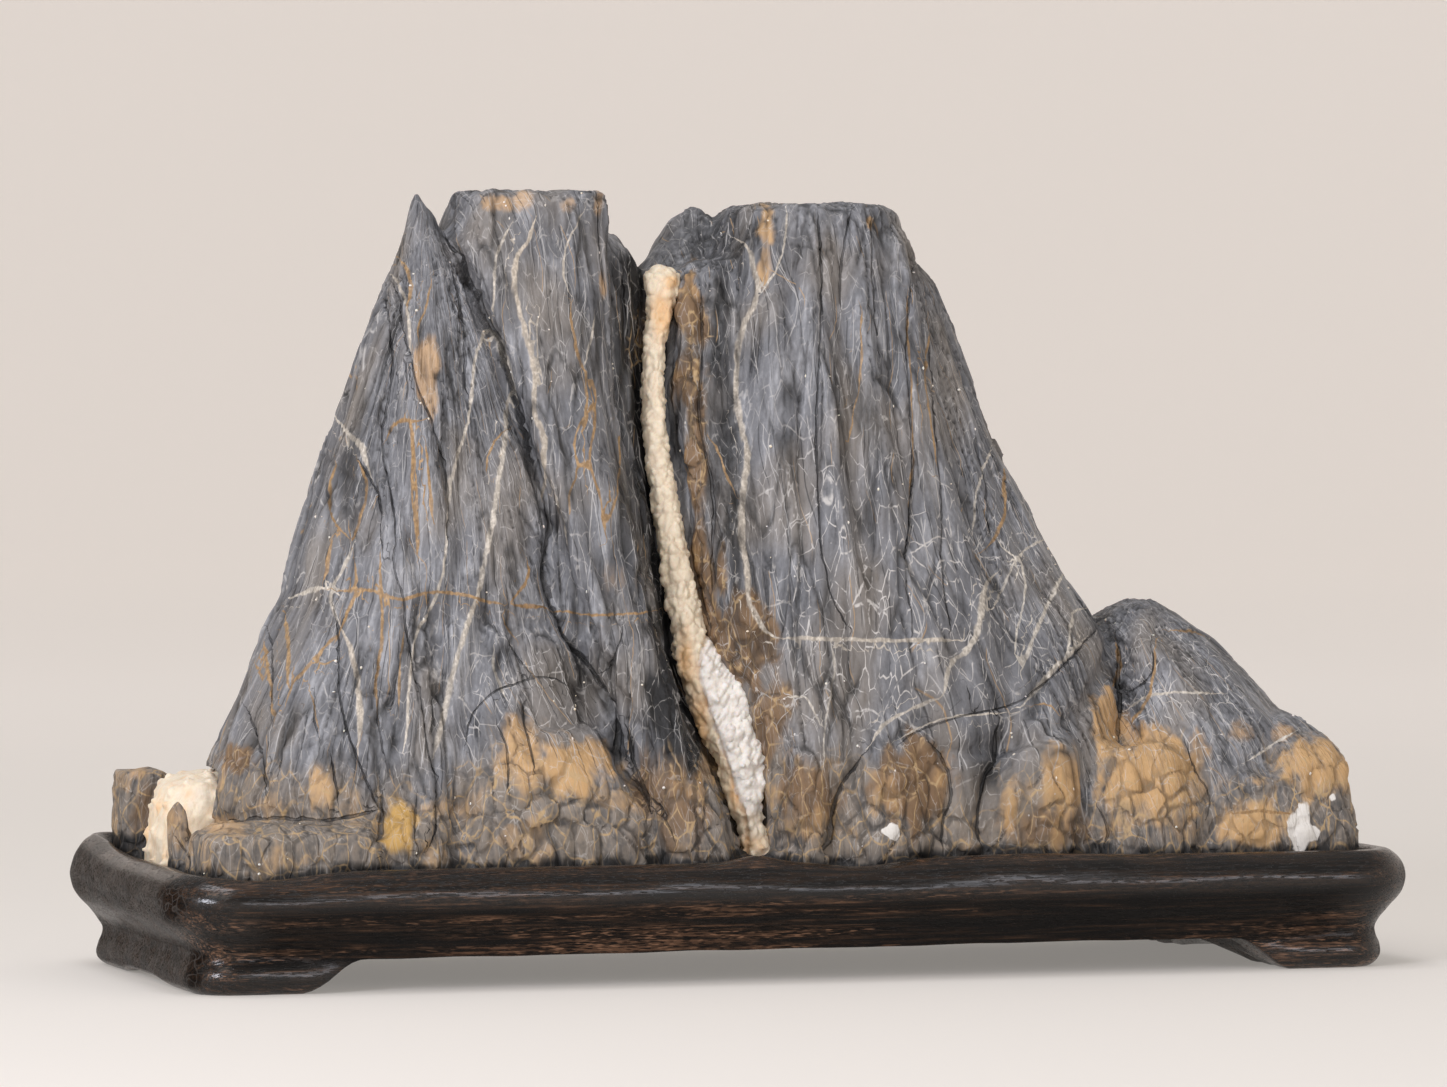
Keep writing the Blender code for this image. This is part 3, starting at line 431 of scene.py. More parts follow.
class Grit:
    """Seeded noise over points, for relief and for what varies from place to place."""

    MIXERS = np.array([0x8DA6B343, 0xD8163841, 0xCB1AB31F], dtype=np.uint32)
    SHIFTS = np.array([2, 12, 22], dtype=np.uint32)

    @classmethod
    def codes(cls, cell: np.ndarray, seed: int) -> np.ndarray:
        """Scramble the numbers of a grid's cells.

        Args:
            cell: N cells, as three whole numbers each.
            seed: Which scramble.

        Returns:
            N numbers of 32 bits.
        """
        mixed = cell * cls.MIXERS
        code = mixed[:, 0] ^ mixed[:, 1] ^ mixed[:, 2] ^ np.uint32(seed * 2654435 + 97)
        code = (code ^ (code >> np.uint32(15))) * np.uint32(0x2C1B3C6D)
        code = (code ^ (code >> np.uint32(12))) * np.uint32(0x297A2D39)
        return code ^ (code >> np.uint32(15))

    @classmethod
    def thirds(cls, code: np.ndarray) -> np.ndarray:
        """Three numbers from 0 to 1 out of each code."""
        return ((code[:, None] >> cls.SHIFTS) & np.uint32(1023)) / 1023.0

    @classmethod
    def waves(cls, points: np.ndarray, seed: int = 0) -> np.ndarray:
        """Smooth noise with features one unit apart.

        Args:
            points: N places.
            seed: Which noise.

        Returns:
            N values, nearly all between -1 and 1.
        """
        base = np.floor(points)
        part = points - base
        cell = base.astype(np.int64).astype(np.uint32)
        ease = part ** 3 * (part * (part * 6 - 15) + 10)
        total = np.zeros(len(points))
        for corner in itertools.product((0, 1), repeat=3):
            step = np.array(corner)
            slope = cls.thirds(cls.codes(cell + step.astype(np.uint32), seed)) * 2 - 1
            weight = np.prod(np.where(step, ease, 1 - ease), axis=1)
            total += weight * (slope * (part - step)).sum(axis=1)
        return total * 1.7

    @classmethod
    def rough(cls, points: np.ndarray, octaves: int, seed: int = 0) -> np.ndarray:
        """Waves on waves, each layer half the size and half the height of the last."""
        layers = range(octaves)
        return sum(cls.waves(points * 2 ** k, seed + k) * 0.5 ** k for k in layers)

    @classmethod
    def cells(cls, points: np.ndarray, seed: int = 0) -> tuple[np.ndarray, np.ndarray]:
        """Split space into cells about one unit across.

        Args:
            points: N places.
            seed: Which set of cells.

        Returns:
            How much nearer each place is to its own cell's seed than to the next, and a
            number from 0 to 1 for its cell.
        """
        base = np.floor(points)
        cell = base.astype(np.int64).astype(np.uint32)
        near, second, tone = (np.full(len(points), 9.0) for _ in range(3))
        for steps in itertools.product((-1, 0, 1), repeat=3):
            step = np.array(steps)
            code = cls.codes(cell + step.astype(np.int64).astype(np.uint32), seed)
            gap = np.sqrt(((base + step + cls.thirds(code) - points) ** 2).sum(axis=1))
            closer = gap < near
            second = np.where(closer, near, np.minimum(second, gap))
            tone = np.where(closer, (code & np.uint32(255)) / 255.0, tone)
            near = np.minimum(near, gap)
        return second - near, tone


@dataclass(frozen=True)
class FrontView:
    """The camera's place, and how points of the part land in its view."""

    azimuth: float = -17.48
    elevation: float = 1.38
    distance: float = 2100.0
    aim: tuple = (-4.1, 0.0, 115.3)
    lens: float = 191.1
    sensor: float = 36.0

    def axes(self) -> tuple[np.ndarray, np.ndarray, np.ndarray]:
        """Find the view's own directions.

        Returns:
            Unit vectors to the right of the view, up it, and back from it to the camera.
        """
        turn, tilt = math.radians(self.azimuth), math.radians(self.elevation)
        right = np.array([math.cos(turn), math.sin(turn), 0.0])
        back = np.array([math.sin(turn) * math.cos(tilt), -math.cos(turn) * math.cos(tilt),
                         math.sin(tilt)])
        return right, np.cross(back, right), back

    def place(self) -> np.ndarray:
        """Where the camera stands."""
        return np.array(self.aim) + self.axes()[2] * self.distance

    def flatten(self, points: np.ndarray) -> np.ndarray:
        """Place points in the front view.

        Args:
            points: N places in the part's frame.

        Returns:
            N pairs: across and up, in millimetres at the distance of the aim.
        """
        right, up, back = self.axes()
        seen = points - self.place()
        scale = self.distance / -(seen @ back)
        return np.column_stack([(seen @ right) * scale, self.aim[2] + (seen @ up) * scale])


VIEW = FrontView()


def wander(points: tuple, seed: int, step: float = 1.8, stray: float = 0.3) -> np.ndarray:
    """Draw a smooth line through points that strays a little to either side.

    Args:
        points: The (across, up) points that the line passes near.
        seed: Which stray.
        step: How far apart the line's own points are.
        stray: How far it strays.

    Returns:
        The line's points.
    """
    given = np.array(points, dtype=float)
    knots = np.concatenate([[0.0], np.cumsum(np.hypot(*np.diff(given, axis=0).T))])
    at = np.linspace(0.0, knots[-1], max(2, int(knots[-1] / step)))
    line = spline(np.column_stack([knots, given]), at)
    for axis in (0, 1):
        spots = np.column_stack([at / 4.0, np.full(len(at), seed + 0.5), np.full(len(at), axis)])
        line[:, axis] += stray * Grit.rough(spots, 2, seed)
    return line


class SeamMap(NamedTuple):
    """For each point, the nearest seam: signed distance, half width there, what it carries."""
    offset: np.ndarray
    half_width: np.ndarray
    carried: np.ndarray


def nearest_seam(spots: np.ndarray, seams: Sequence[Crack | Vein], seed: int,
                 reach: float = 3.2) -> SeamMap:
    """Find the nearest seam to each spot of the front view.

    Args:
        spots: N (across, up) spots.
        seams: The cracks or veins.
        seed: Sets how the lines stray.
        reach: How far a seam is felt.

    Returns:
        The map. A width fades out away from its seam and at its two ends.
    """
    offset = np.full(len(spots), reach)
    half_width, carried = np.zeros(len(spots)), np.zeros(len(spots))
    for index, seam in enumerate(seams):
        path = wander(seam.points, seed + index)
        around = (spots > path.min(axis=0) - reach) & (spots < path.max(axis=0) + reach)
        inside = np.nonzero(around.all(axis=1))[0]
        here = spots[inside]
        gap = np.full(len(here), reach)
        for start, end in zip(path, path[1:]):
            run = end - start
            share = np.clip(((here - start) @ run) / (run @ run), 0.0, 1.0)
            away = here - start - share[:, None] * run
            side = np.where(run[0] * away[:, 1] > run[1] * away[:, 0], 1.0, -1.0)
            closer = np.hypot(*away.T)
            gap = np.where(closer < np.abs(gap), side * closer, gap)
        to_end = np.minimum(np.hypot(*(here - path[0]).T), np.hypot(*(here - path[-1]).T))
        taper = ramp(to_end, 0.0, 9.0 * seam.half_width) * 0.8 + 0.2
        nearer = np.abs(gap) < np.abs(offset[inside])
        chosen = inside[nearer]
        offset[chosen] = gap[nearer]
        half_width[chosen] = seam.half_width * (taper * ramp(np.abs(gap), reach, 1.4))[nearer]
        carried[chosen] = seam.stain if isinstance(seam, Vein) else seam.depth
    return SeamMap(offset, half_width, carried)


def coordinates(mesh: bpy.types.Mesh) -> np.ndarray:
    """Read where a mesh's vertices are.

    Args:
        mesh: The mesh.

    Returns:
        N places in millimetres.
    """
    flat = np.empty(len(mesh.vertices) * 3)
    mesh.vertices.foreach_get("co", flat)
    return flat.reshape(-1, 3) / MM


def normals(mesh: bpy.types.Mesh) -> np.ndarray:
    """Read which way a mesh's vertices face.

    Args:
        mesh: The mesh.

    Returns:
        N unit vectors.
    """
    flat = np.empty(len(mesh.vertices) * 3)
    mesh.vertex_normals.foreach_get("vector", flat)
    return flat.reshape(-1, 3)


def set_coordinates(mesh: bpy.types.Mesh, points: np.ndarray) -> None:
    """Move a mesh's vertices to N places in millimetres."""
    mesh.vertices.foreach_set("co", (points * MM).ravel())
    mesh.update()


def store(mesh: bpy.types.Mesh, name: str, columns: Sequence[np.ndarray]) -> None:
    """Keep three numbers for each vertex of a mesh as a named attribute."""
    layer = mesh.attributes.new(name, "FLOAT_VECTOR", "POINT")
    layer.data.foreach_set("vector", np.column_stack(columns).astype(np.float32).ravel())


def new_piece(name: str, points: Sequence, faces: Sequence) -> bpy.types.Object:
    """Make an object at the origin.

    Args:
        name: What it is called.
        points: Its points in millimetres.
        faces: Its faces, as numbers of points.

    Returns:
        The object, in the scene.
    """
    mesh = bpy.data.meshes.new(name)
    mesh.from_pydata([tuple(c * MM for c in point) for point in points], [], faces)
    mesh.validate()
    piece = bpy.data.objects.new(name, mesh)
    bpy.context.scene.collection.objects.link(piece)
    return piece


def merged_copy(source: bpy.types.Object, name: str) -> bpy.types.Object:
    """Copy an object's mesh into a new piece and join its loose triangles.

    Args:
        source: The object.
        name: What the piece is called.

    Returns:
        The piece.
    """
    piece = bpy.data.objects.new(name, source.data.copy())
    piece.data.name = name
    piece.data.materials.clear()
    bpy.context.scene.collection.objects.link(piece)
    shape = bmesh.new()
    shape.from_mesh(piece.data)
    bmesh.ops.remove_doubles(shape, verts=shape.verts[:], dist=1e-6)
    shape.to_mesh(piece.data)
    shape.free()
    return piece


def bake(piece: bpy.types.Object) -> None:
    """Turn a piece's modifiers into its own plain mesh, and drop them.

    Args:
        piece: The piece.
    """
    graph = bpy.context.evaluated_depsgraph_get()
    mesh = bpy.data.meshes.new_from_object(piece.evaluated_get(graph), depsgraph=graph)
    piece.modifiers.clear()
    old, piece.data = piece.data, mesh
    bpy.data.meshes.remove(old)


def reskin(piece: bpy.types.Object, cell: float, smoothing: int, squash: float = 1.0) -> None:
    """Cover a closed piece with one even skin and soften its facets.

    Args:
        piece: The piece.
        cell: The width of a cell of the skin.
        smoothing: How many rounds of softening.
        squash: How much shorter than wide the piece is made while it is covered, so that the
            cells come out taller than wide by as much.
    """
    place = coordinates(piece.data)
    place[:, 2] *= squash
    set_coordinates(piece.data, place)
    skin = piece.modifiers.new("skin", "REMESH")
    skin.mode = "VOXEL"
    skin.voxel_size = cell * MM
    soften = piece.modifiers.new("soften", "SMOOTH")
    soften.factor = 0.5
    soften.iterations = smoothing
    bake(piece)
    place = coordinates(piece.data)
    place[:, 2] /= squash
    set_coordinates(piece.data, place)


def thin(piece: bpy.types.Object, triangles: int) -> None:
    """Merge faces where a piece is smoothest until it has few enough.

    Args:
        piece: The piece.
        triangles: How many triangles are left at most.
    """
    piece.data.calc_loop_triangles()
    share = triangles / len(piece.data.loop_triangles)
    if share < 1.0:
        merge = piece.modifiers.new("thin", "DECIMATE")
        merge.ratio = share
        bake(piece)


def lofted(rings: Sequence[np.ndarray]) -> tuple[np.ndarray, list]:
    """Join rings of equal count, from the bottom up, into a closed skin.

    Args:
        rings: The rings, anticlockwise as seen from above.

    Returns:
        Points and faces.
    """
    count = len(rings[0])
    faces: list = [tuple(reversed(range(count)))]
    for level in range(len(rings) - 1):
        low, high = level * count, (level + 1) * count
        for i in range(count):
            j = (i + 1) % count
            faces.append((low + i, low + j, high + j, high + i))
    top = (len(rings) - 1) * count
    faces.append(tuple(range(top, top + count)))
    return np.concatenate(rings), faces


def spline(table: Sequence[Sequence[float]], at: np.ndarray) -> np.ndarray:
    """Read smooth rows between the rows of a table.

    Args:
        table: Rows whose first number rises or falls from row to row.
        at: The first numbers to read at.

    Returns:
        A row of the other numbers for each of them.
    """
    rows = np.array(table, dtype=float)
    if rows[0, 0] > rows[-1, 0]:
        rows = rows[::-1]
    knots, values = rows[:, 0], rows[:, 1:]
    slope = np.gradient(values, knots, axis=0)
    k = np.clip(np.searchsorted(knots, at, side="right") - 1, 0, len(knots) - 2)
    width = (knots[k + 1] - knots[k])[:, None]
    t = np.clip((at - knots[k])[:, None] / width, 0.0, 1.0)
    return ((2 * t ** 3 - 3 * t ** 2 + 1) * values[k] + (t ** 3 - 2 * t ** 2 + t) * width * slope[k]
            + (3 * t ** 2 - 2 * t ** 3) * values[k + 1] + (t ** 3 - t ** 2) * width * slope[k + 1])


def shade_smooth(piece: bpy.types.Object, material: bpy.types.Material) -> None:
    """Give a piece its one material and smooth shading.

    Args:
        piece: The piece.
        material: Its material.
    """
    piece.data.materials.clear()
    piece.data.materials.append(material)
    piece.data.shade_smooth()


def place_piece(piece: bpy.types.Object, slot: str, *nodes: str) -> bpy.types.Object:
    """Hand a finished piece to the frame: what it rides on and stands for.

    Args:
        piece: The piece.
        slot: Not used.
        nodes: The solids that it stands for.

    Returns:
        The piece.
    """
    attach(piece, "root")
    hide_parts(*nodes)
    piece.data.calc_loop_triangles()
    log.info("%s: %d triangles", piece.name, len(piece.data.loop_triangles))
    return piece


class Fade(NamedTuple):
    """A share that eases from low to high as a value goes from start to end."""
    value: Wire
    start: Wire | float
    end: Wire | float
    low: float = 0.0
    high: float = 1.0


Share = Wire | float | Fade


@dataclass
class Recipe:
    """A node material in the making: patterns at real sizes, and layers of colour over them."""

    name: str

    def __post_init__(self) -> None:
        """Start the material and the millimetre places that its patterns read."""
        self.material = bpy.data.materials.new(self.name)
        self.material.use_nodes = True
        self.tree = self.material.node_tree
        self.shader = next(node for node in self.tree.nodes if node.type == "BSDF_PRINCIPLED")
        self.shader.inputs["IOR"].default_value = 1.5
        place = add_node(self.tree, "ShaderNodeTexCoord", output="Object")
        self.place = add_node(self.tree, "ShaderNodeVectorMath", {0: place, "Scale": 1 / MM},
                              operation="SCALE")

    def pattern(self, size: Sequence[float], detail: float = 3.0, shift: float = 0.0,
                place: Wire | None = None) -> Wire:
        """Cloudy noise whose features have a real size.

        Args:
            size: How large a feature is along X, Y and Z, in millimetres.
            detail: How many finer layers it has.
            shift: Moves it, so that two patterns differ.
            place: The places that it reads instead of the part's own.

        Returns:
            Values about 0.5.
        """
        spot = add_node(self.tree, "ShaderNodeMapping",
                        {"Vector": place or self.place, "Location": (shift, shift, shift),
                         "Scale": tuple(1 / length for length in size)})
        return add_node(self.tree, "ShaderNodeTexNoise",
                        {"Vector": spot, "Scale": 1.0, "Detail": detail, "Roughness": 0.58})

    def attribute(self, name: str) -> tuple[Wire, Wire, Wire]:
        """Read a named attribute.

        Args:
            name: The attribute.

        Returns:
            The three numbers that it holds.
        """
        held = add_node(self.tree, "ShaderNodeAttribute", output="Vector", attribute_name=name)
        first = add_node(self.tree, "ShaderNodeSeparateXYZ", {0: held})
        return first, first.node.outputs[1], first.node.outputs[2]

    def weighed(self, *parts: tuple[Wire, float]) -> Wire:
        """Add wires up.

        Args:
            parts: Each wire and its weight.

        Returns:
            The sum.
        """
        total = None
        for wire, weight in parts:
            inputs = {0: wire, 1: weight, 2: 0.0 if total is None else total}
            total = add_node(self.tree, "ShaderNodeMath", inputs, operation="MULTIPLY_ADD")
        return total

    def share(self, *shares: Share) -> Wire | float:
        """Multiply shares together, easing those that are given as fades.

        Args:
            shares: The shares.

        Returns:
            The product.
        """
        product: Wire | float = 1.0
        for part in shares:
            if isinstance(part, Fade):
                names = ("Value", "From Min", "From Max", "To Min", "To Max")
                part = add_node(self.tree, "ShaderNodeMapRange", dict(zip(names, part)),
                                interpolation_type="SMOOTHSTEP")
            if product == 1.0:
                product = part
            else:
                product = add_node(self.tree, "ShaderNodeMath", {0: product, 1: part},
                                   operation="MULTIPLY")
        return product

    def lay(self, base: Wire | str, top: Wire | str, *shares: Share,
            how: str = "MIX") -> Wire:
        """Lay one colour over another as far as every share allows.

        Args:
            base: The colour below, as a wire or a hex code.
            top: The colour above.
            shares: What the layer's strength is the product of.
            how: MIX, or MULTIPLY to stain.

        Returns:
            The colour.
        """
        ends = [linear(end) if isinstance(end, str) else end for end in (base, top)]
        return add_node(self.tree, "ShaderNodeMix",
                        {0: self.share(*shares), 1: ends[0], 2: ends[1]},
                        data_type="RGBA", blend_type=how)

    def thread(self, value: Wire, level: float, half_width: Wire | float) -> Wire:
        """Draw a thin line where a value passes a level.

        Args:
            value: The value.
            level: The level.
            half_width: Half the line's width, in the value's own measure.

        Returns:
            1 along the line's middle, and 0 away from it.
        """
        away = add_node(self.tree, "ShaderNodeMath", {0: value, 1: level}, operation="SUBTRACT")
        away = add_node(self.tree, "ShaderNodeMath", {0: away}, operation="ABSOLUTE")
        return self.share(Fade(away, half_width, 0.0))

    def net(self, size: Sequence[float], shift: float, warp: float, half_width: float,
            place: Wire | None = None) -> Wire:
        """A net of crackle lines round cells of a real size.

        Args:
            size: How large a cell is along X, Y and Z, in millimetres.
            shift: Moves the net, so that two of them differ.
            warp: How far the lines wander, in cells.
            half_width: Half the width of a line, in cells.
            place: The places that it reads instead of the part's own.

        Returns:
            1 along the lines and 0 between them.
        """
        scale = tuple(1 / length for length in size)
        spot = add_node(self.tree, "ShaderNodeMapping",
                        {"Vector": place or self.place, "Location": (shift, shift, shift),
                         "Scale": scale})
        stray = add_node(self.tree, "ShaderNodeTexNoise",
                         {"Vector": spot, "Scale": 1.1, "Detail": 0.0}, "Color")
        moved = add_node(self.tree, "ShaderNodeVectorMath",
                         {0: stray, 1: (warp, warp, warp), 2: spot}, operation="MULTIPLY_ADD")
        away = add_node(self.tree, "ShaderNodeTexVoronoi", {"Vector": moved, "Scale": 1.0},
                        "Distance", feature="DISTANCE_TO_EDGE")
        return self.share(Fade(away, half_width, half_width * 0.25))

    def strands(self, number: Wire, height: Wire, spacing: float, slant: float, stray: Wire,
                half_width: float) -> Wire:
        """Long lines along the grain, some way apart, that wander as noise strays.

        Args:
            number: The grain's number at each place.
            height: How high each place is.
            spacing: How far apart the lines are, in millimetres.
            slant: How far across they drift per millimetre of height.
            stray: Noise that moves them to either side.
            half_width: Half the width of a line, in millimetres.

        Returns:
            1 along the lines and 0 between them.
        """
        count = self.weighed((number, 1 / spacing), (height, slant / spacing), (stray, 2.4))
        part = add_node(self.tree, "ShaderNodeMath", {0: count}, operation="FRACT")
        return self.thread(part, 0.5, half_width / spacing)

    def seam(self, offset: Wire, half_width: Wire, wobble: Wire) -> Wire:
        """Show a seam.

        Args:
            offset: How far away the seam is.
            half_width: Half its width there.
            wobble: What moves its edges to either side.

        Returns:
            1 at its heart, and 0 past its edges.
        """
        away = self.weighed((offset, 1.0), (wobble, 1.0))
        away = add_node(self.tree, "ShaderNodeMath", {0: away}, operation="ABSOLUTE")
        outer, inner = self.weighed((half_width, 1.25)), self.weighed((half_width, 0.5))
        return self.share(Fade(away, outer, inner), Fade(half_width, 0.02, 0.1))

    def finish(self, colour: Wire, distance: float, *heights: tuple[Wire, float]) -> None:
        """Wire up the colour and a bump.

        Args:
            colour: The colour.
            distance: The bump's depth in millimetres.
            heights: Each height that it adds up, and its weight.
        """
        self.tree.links.new(colour, self.shader.inputs["Base Color"])
        tilt = add_node(self.tree, "ShaderNodeBump",
                        {"Height": self.weighed(*heights), "Distance": distance * MM})
        self.tree.links.new(tilt, self.shader.inputs["Normal"])


@dataclass(frozen=True)
class SlateFinish:
    """Weathered slaty limestone: matt blue-grey, streaked and veined along its grain."""

    darkest: str = "#2e2f33"
    shadow: str = "#19191b"
    body: str = "#707175"
    pale: str = "#9c9da1"
    warm: str = "#857c71"
    hairline: str = "#bcbab8"
    rust_line: str = "#b3936a"
    web: str = "#d0ccc7"
    ochre: str = "#caa26e"
    brown: str = "#7d6040"
    tan: str = "#c4a076"
    gold: str = "#c49b50"
    white: str = "#dedad3"
    plate: str = "#897d6e"
    plate_dark: str = "#4b4640"
    plate_line: str = "#b89c73"
    vein: str = "#d8d1c5"
    vein_tan: str = "#c2a47c"
    vein_orange: str = "#ab8759"
    vein_grit: str = "#8a8580"
    # Painted shade, multiplied into the grooves and the gap under the stand's rim.
    groove: str = "#4c4a48"
    crack: str = "#141416"
    roughness: float = 0.52
    bump: float = 0.85

    def make(self) -> bpy.types.Material:
        """Build the material.

        Returns:
            The material.
        """
        recipe = Recipe("weathered_slate")
        tree = recipe.tree
        grain = add_node(tree, "ShaderNodeAttribute", output="Vector", attribute_name="grain")
        number, _, height = recipe.attribute("grain")
        groove, plate_gap, plate_tone = recipe.attribute("relief")
        ochre, brown, foot = recipe.attribute("iron")
        # The patches hold tan and white stains, and dark stone with painted shade.
        tan, white, dark = recipe.attribute("stains_and_shade")
        web, gold, _ = recipe.attribute("web")

        # Streaks 1.5 mm wide and bands 6 mm wide run along the grain, and mottles cross them.
        streaks = recipe.pattern((1.5, 1.5, 46.0), 1.5, place=grain)
        bands = recipe.pattern((6.0, 6.0, 90.0), 2.0, 7.0, grain)
        mottle = recipe.pattern((15.0, 15.0, 15.0), 1.0, 3.0)
        grit = recipe.pattern((0.9, 0.9, 1.3), 1.0)
        small = recipe.pattern((2.2, 2.2, 3.2), 2.0, 5.0)
        tone = recipe.weighed((streaks, 0.32), (bands, 0.36), (mottle, 0.22), (grit, 0.1))
        colour = recipe.lay(self.darkest, self.body, Fade(tone, 0.34, 0.48))
        colour = recipe.lay(colour, self.pale, Fade(tone, 0.48, 0.64))
        warmth = recipe.pattern((24.0, 24.0, 34.0), 1.0, 11.0)
        colour = recipe.lay(colour, self.warm, Fade(warmth, 0.46, 0.7, 0.0, 0.6))

        # The stained foot weathers into plates with tan lines round them.
        plates = recipe.weighed((plate_tone, 0.35), (small, 1.0), (streaks, 0.65))
        colour_foot = recipe.lay(self.plate_dark, self.plate, Fade(plates, 0.6, 1.15))
        colour = recipe.lay(colour, colour_foot, foot, 0.75)

        # Iron stains soak in between the streaks.
        soak = recipe.weighed((streaks, 0.55), (small, 0.35), (bands, 0.3))
        for share, code, most in ((brown, self.brown, 0.85), (ochre, self.ochre, 0.85),
                                  (tan, self.tan, 0.8), (gold, self.gold, 0.85)):
            wet = recipe.weighed((soak, 1.0), (share, 1.0))
            colour = recipe.lay(colour, code, Fade(wet, 0.75, 1.45, 0.0, most),
                                Fade(share, 0.0, 0.3))
        # Dark stone, and painted shade in the clefts and in the gap under the stand's rim, soak in
        # between the streaks.
        colour = recipe.lay(colour, self.shadow, dark, Fade(soak, 0.85, 0.5, 0.7, 0.97))

        # Cracks, calcite hairlines 0.3 mm wide and rust lines along the grain, nets across it.
        stray = recipe.pattern((26.0, 26.0, 42.0), 1.0, 13.0, grain)
        broken = recipe.pattern((6.0, 6.0, 24.0), 1.0, 17.0, grain)
        for spacing, slant, half_width, level, code, most in (
                (3.1, 0.02, 0.2, 0.45, self.crack, 0.75),
                (4.7, 0.09, 0.14, 0.46, self.hairline, 0.85),
                (6.3, -0.1, 0.14, 0.47, self.hairline, 0.85),
                (9.7, 0.03, 0.17, 0.49, self.rust_line, 0.8)):
            drawn = recipe.strands(number, height, spacing, slant, stray, half_width)
            colour = recipe.lay(colour, code, drawn, Fade(broken, level, level + 0.05),
                                Fade(foot, 0.2, 0.9, 1.0, 0.35), most)
        for size, shift, half_width, where, least in (
                ((3.8, 3.8, 10.0), 8.0, 0.028, None, 0.2),
                ((9.0, 9.0, 26.0), 21.0, 0.014, grain, 0.1)):
            drawn = recipe.net(size, shift, 0.5, half_width, where)
            colour = recipe.lay(colour, self.web, drawn, Fade(web, 0.0, 1.0, least, 1.0),
                                Fade(small, 0.4, 0.56, 0.08, 0.92))
        lined = recipe.net((5.6, 5.6, 9.0), 5.0, 0.7, 0.05)
        colour = recipe.lay(colour, self.plate_line, lined, foot, Fade(small, 0.4, 0.6, 0.3, 0.9))
        seam = recipe.share(Fade(plate_gap, 0.14, 0.03), foot)
        colour = recipe.lay(colour, self.crack, seam, Fade(mottle, 0.35, 0.65, 0.2, 0.6))

        # White specks 0.5 mm across, drawn as coarse as they need to be to show.
        spot = add_node(tree, "ShaderNodeMapping",
                        {"Vector": recipe.place, "Scale": (1 / 4.4, 1 / 4.4, 1 / 5.4)})
        away = add_node(tree, "ShaderNodeTexVoronoi", {"Vector": spot, "Scale": 1.0})
        picked = Fade(away.node.outputs["Color"], 0.6, 0.75)
        colour = recipe.lay(colour, self.web, Fade(away, 0.07, 0.035), picked, 0.6)

        # Veins are pale at the heart and stained where iron reached them.
        wobble = recipe.weighed((small, 0.5), (recipe.pattern((5.0, 5.0, 5.0), 1.0), -0.5))
        for name, young, old in (("pale_vein", self.vein, self.vein_tan),
                                 ("stained_vein", self.vein_tan, self.vein_orange)):
            offset, half_width, stain = recipe.attribute(name)
            uneven = recipe.share(half_width, Fade(streaks, 0.3, 0.62, 0.7, 1.25))
            shown = recipe.seam(offset, uneven, wobble)
            filling = recipe.lay(young, old, stain)
            filling = recipe.lay(filling, self.vein_grit, Fade(grit, 0.4, 0.7, 0.5, 0.0),
                                 how="MULTIPLY")
            colour = recipe.lay(colour, filling, shown, Fade(small, 0.3, 0.5, 0.75, 1.0))
        offset, half_width, _ = recipe.attribute("crack")
        opened = recipe.seam(offset, recipe.weighed((half_width, 0.75)), wobble)
        colour = recipe.lay(colour, self.crack, opened, Fade(bands, 0.3, 0.6, 0.95, 0.5))
        # Painted shade darkens the grooves, nicks, joints and the gap under the stand's rim.
        colour = recipe.lay(colour, self.groove, groove, 0.85, how="MULTIPLY")
        chalky = recipe.weighed((white, 1.0), (small, 0.5))
        colour = recipe.lay(colour, self.white, Fade(chalky, 0.72, 0.92))

        rough = recipe.weighed((foot, 0.16), (tone, -0.5), (1.0, self.roughness + 0.25))
        tree.links.new(rough, recipe.shader.inputs["Roughness"])
        recipe.finish(colour, self.bump, (streaks, 0.5), (bands, 0.5), (grit, 0.14), (small, 0.25),
                      (seam, -0.3), (opened, -0.6))
        return recipe.material


@dataclass(frozen=True)
class CalciteFinish:
    """Rough calcite crust: chalky cream that light soaks into, amber where iron stained it."""

    cream: str = "#ecdec5"
    chalk: str = "#e8e4dd"
    shade: str = "#d8c3a2"
    amber: str = "#e6be8e"
    rust: str = "#b07c46"
    roughness: float = 0.5
    bump: float = 0.4

    def make(self) -> bpy.types.Material:
        """Build the material.

        Returns:
            The material.
        """
        recipe = Recipe("calcite_crust")
        amber, chalk, hollow = recipe.attribute("growth")
        fine = recipe.pattern((0.9, 0.9, 1.3))
        lumps = recipe.pattern((4.0, 4.0, 6.0), 3.0, 4.0)
        whitish = recipe.weighed((chalk, 1.0), (lumps, 0.5))
        colour = recipe.lay(self.cream, self.chalk, Fade(whitish, 0.2, 0.9))
        stained = recipe.weighed((amber, 1.0), (lumps, 0.9))
        colour = recipe.lay(colour, self.amber, Fade(stained, 0.6, 1.5))
        colour = recipe.lay(colour, self.shade, Fade(fine, 0.45, 0.7), 0.35)
        colour = recipe.lay(colour, self.rust, hollow, Fade(lumps, 0.3, 0.6, 0.35, 0.8))
        shader = recipe.shader
        shader.inputs["Roughness"].default_value = self.roughness
        shader.inputs["Subsurface Weight"].default_value = 0.18
        shader.inputs["Subsurface Radius"].default_value = (1.0, 0.6, 0.35)
        shader.inputs["Subsurface Scale"].default_value = 0.8 * MM
        recipe.finish(colour, self.bump, (fine, 0.6), (lumps, 0.5))
        return recipe.material


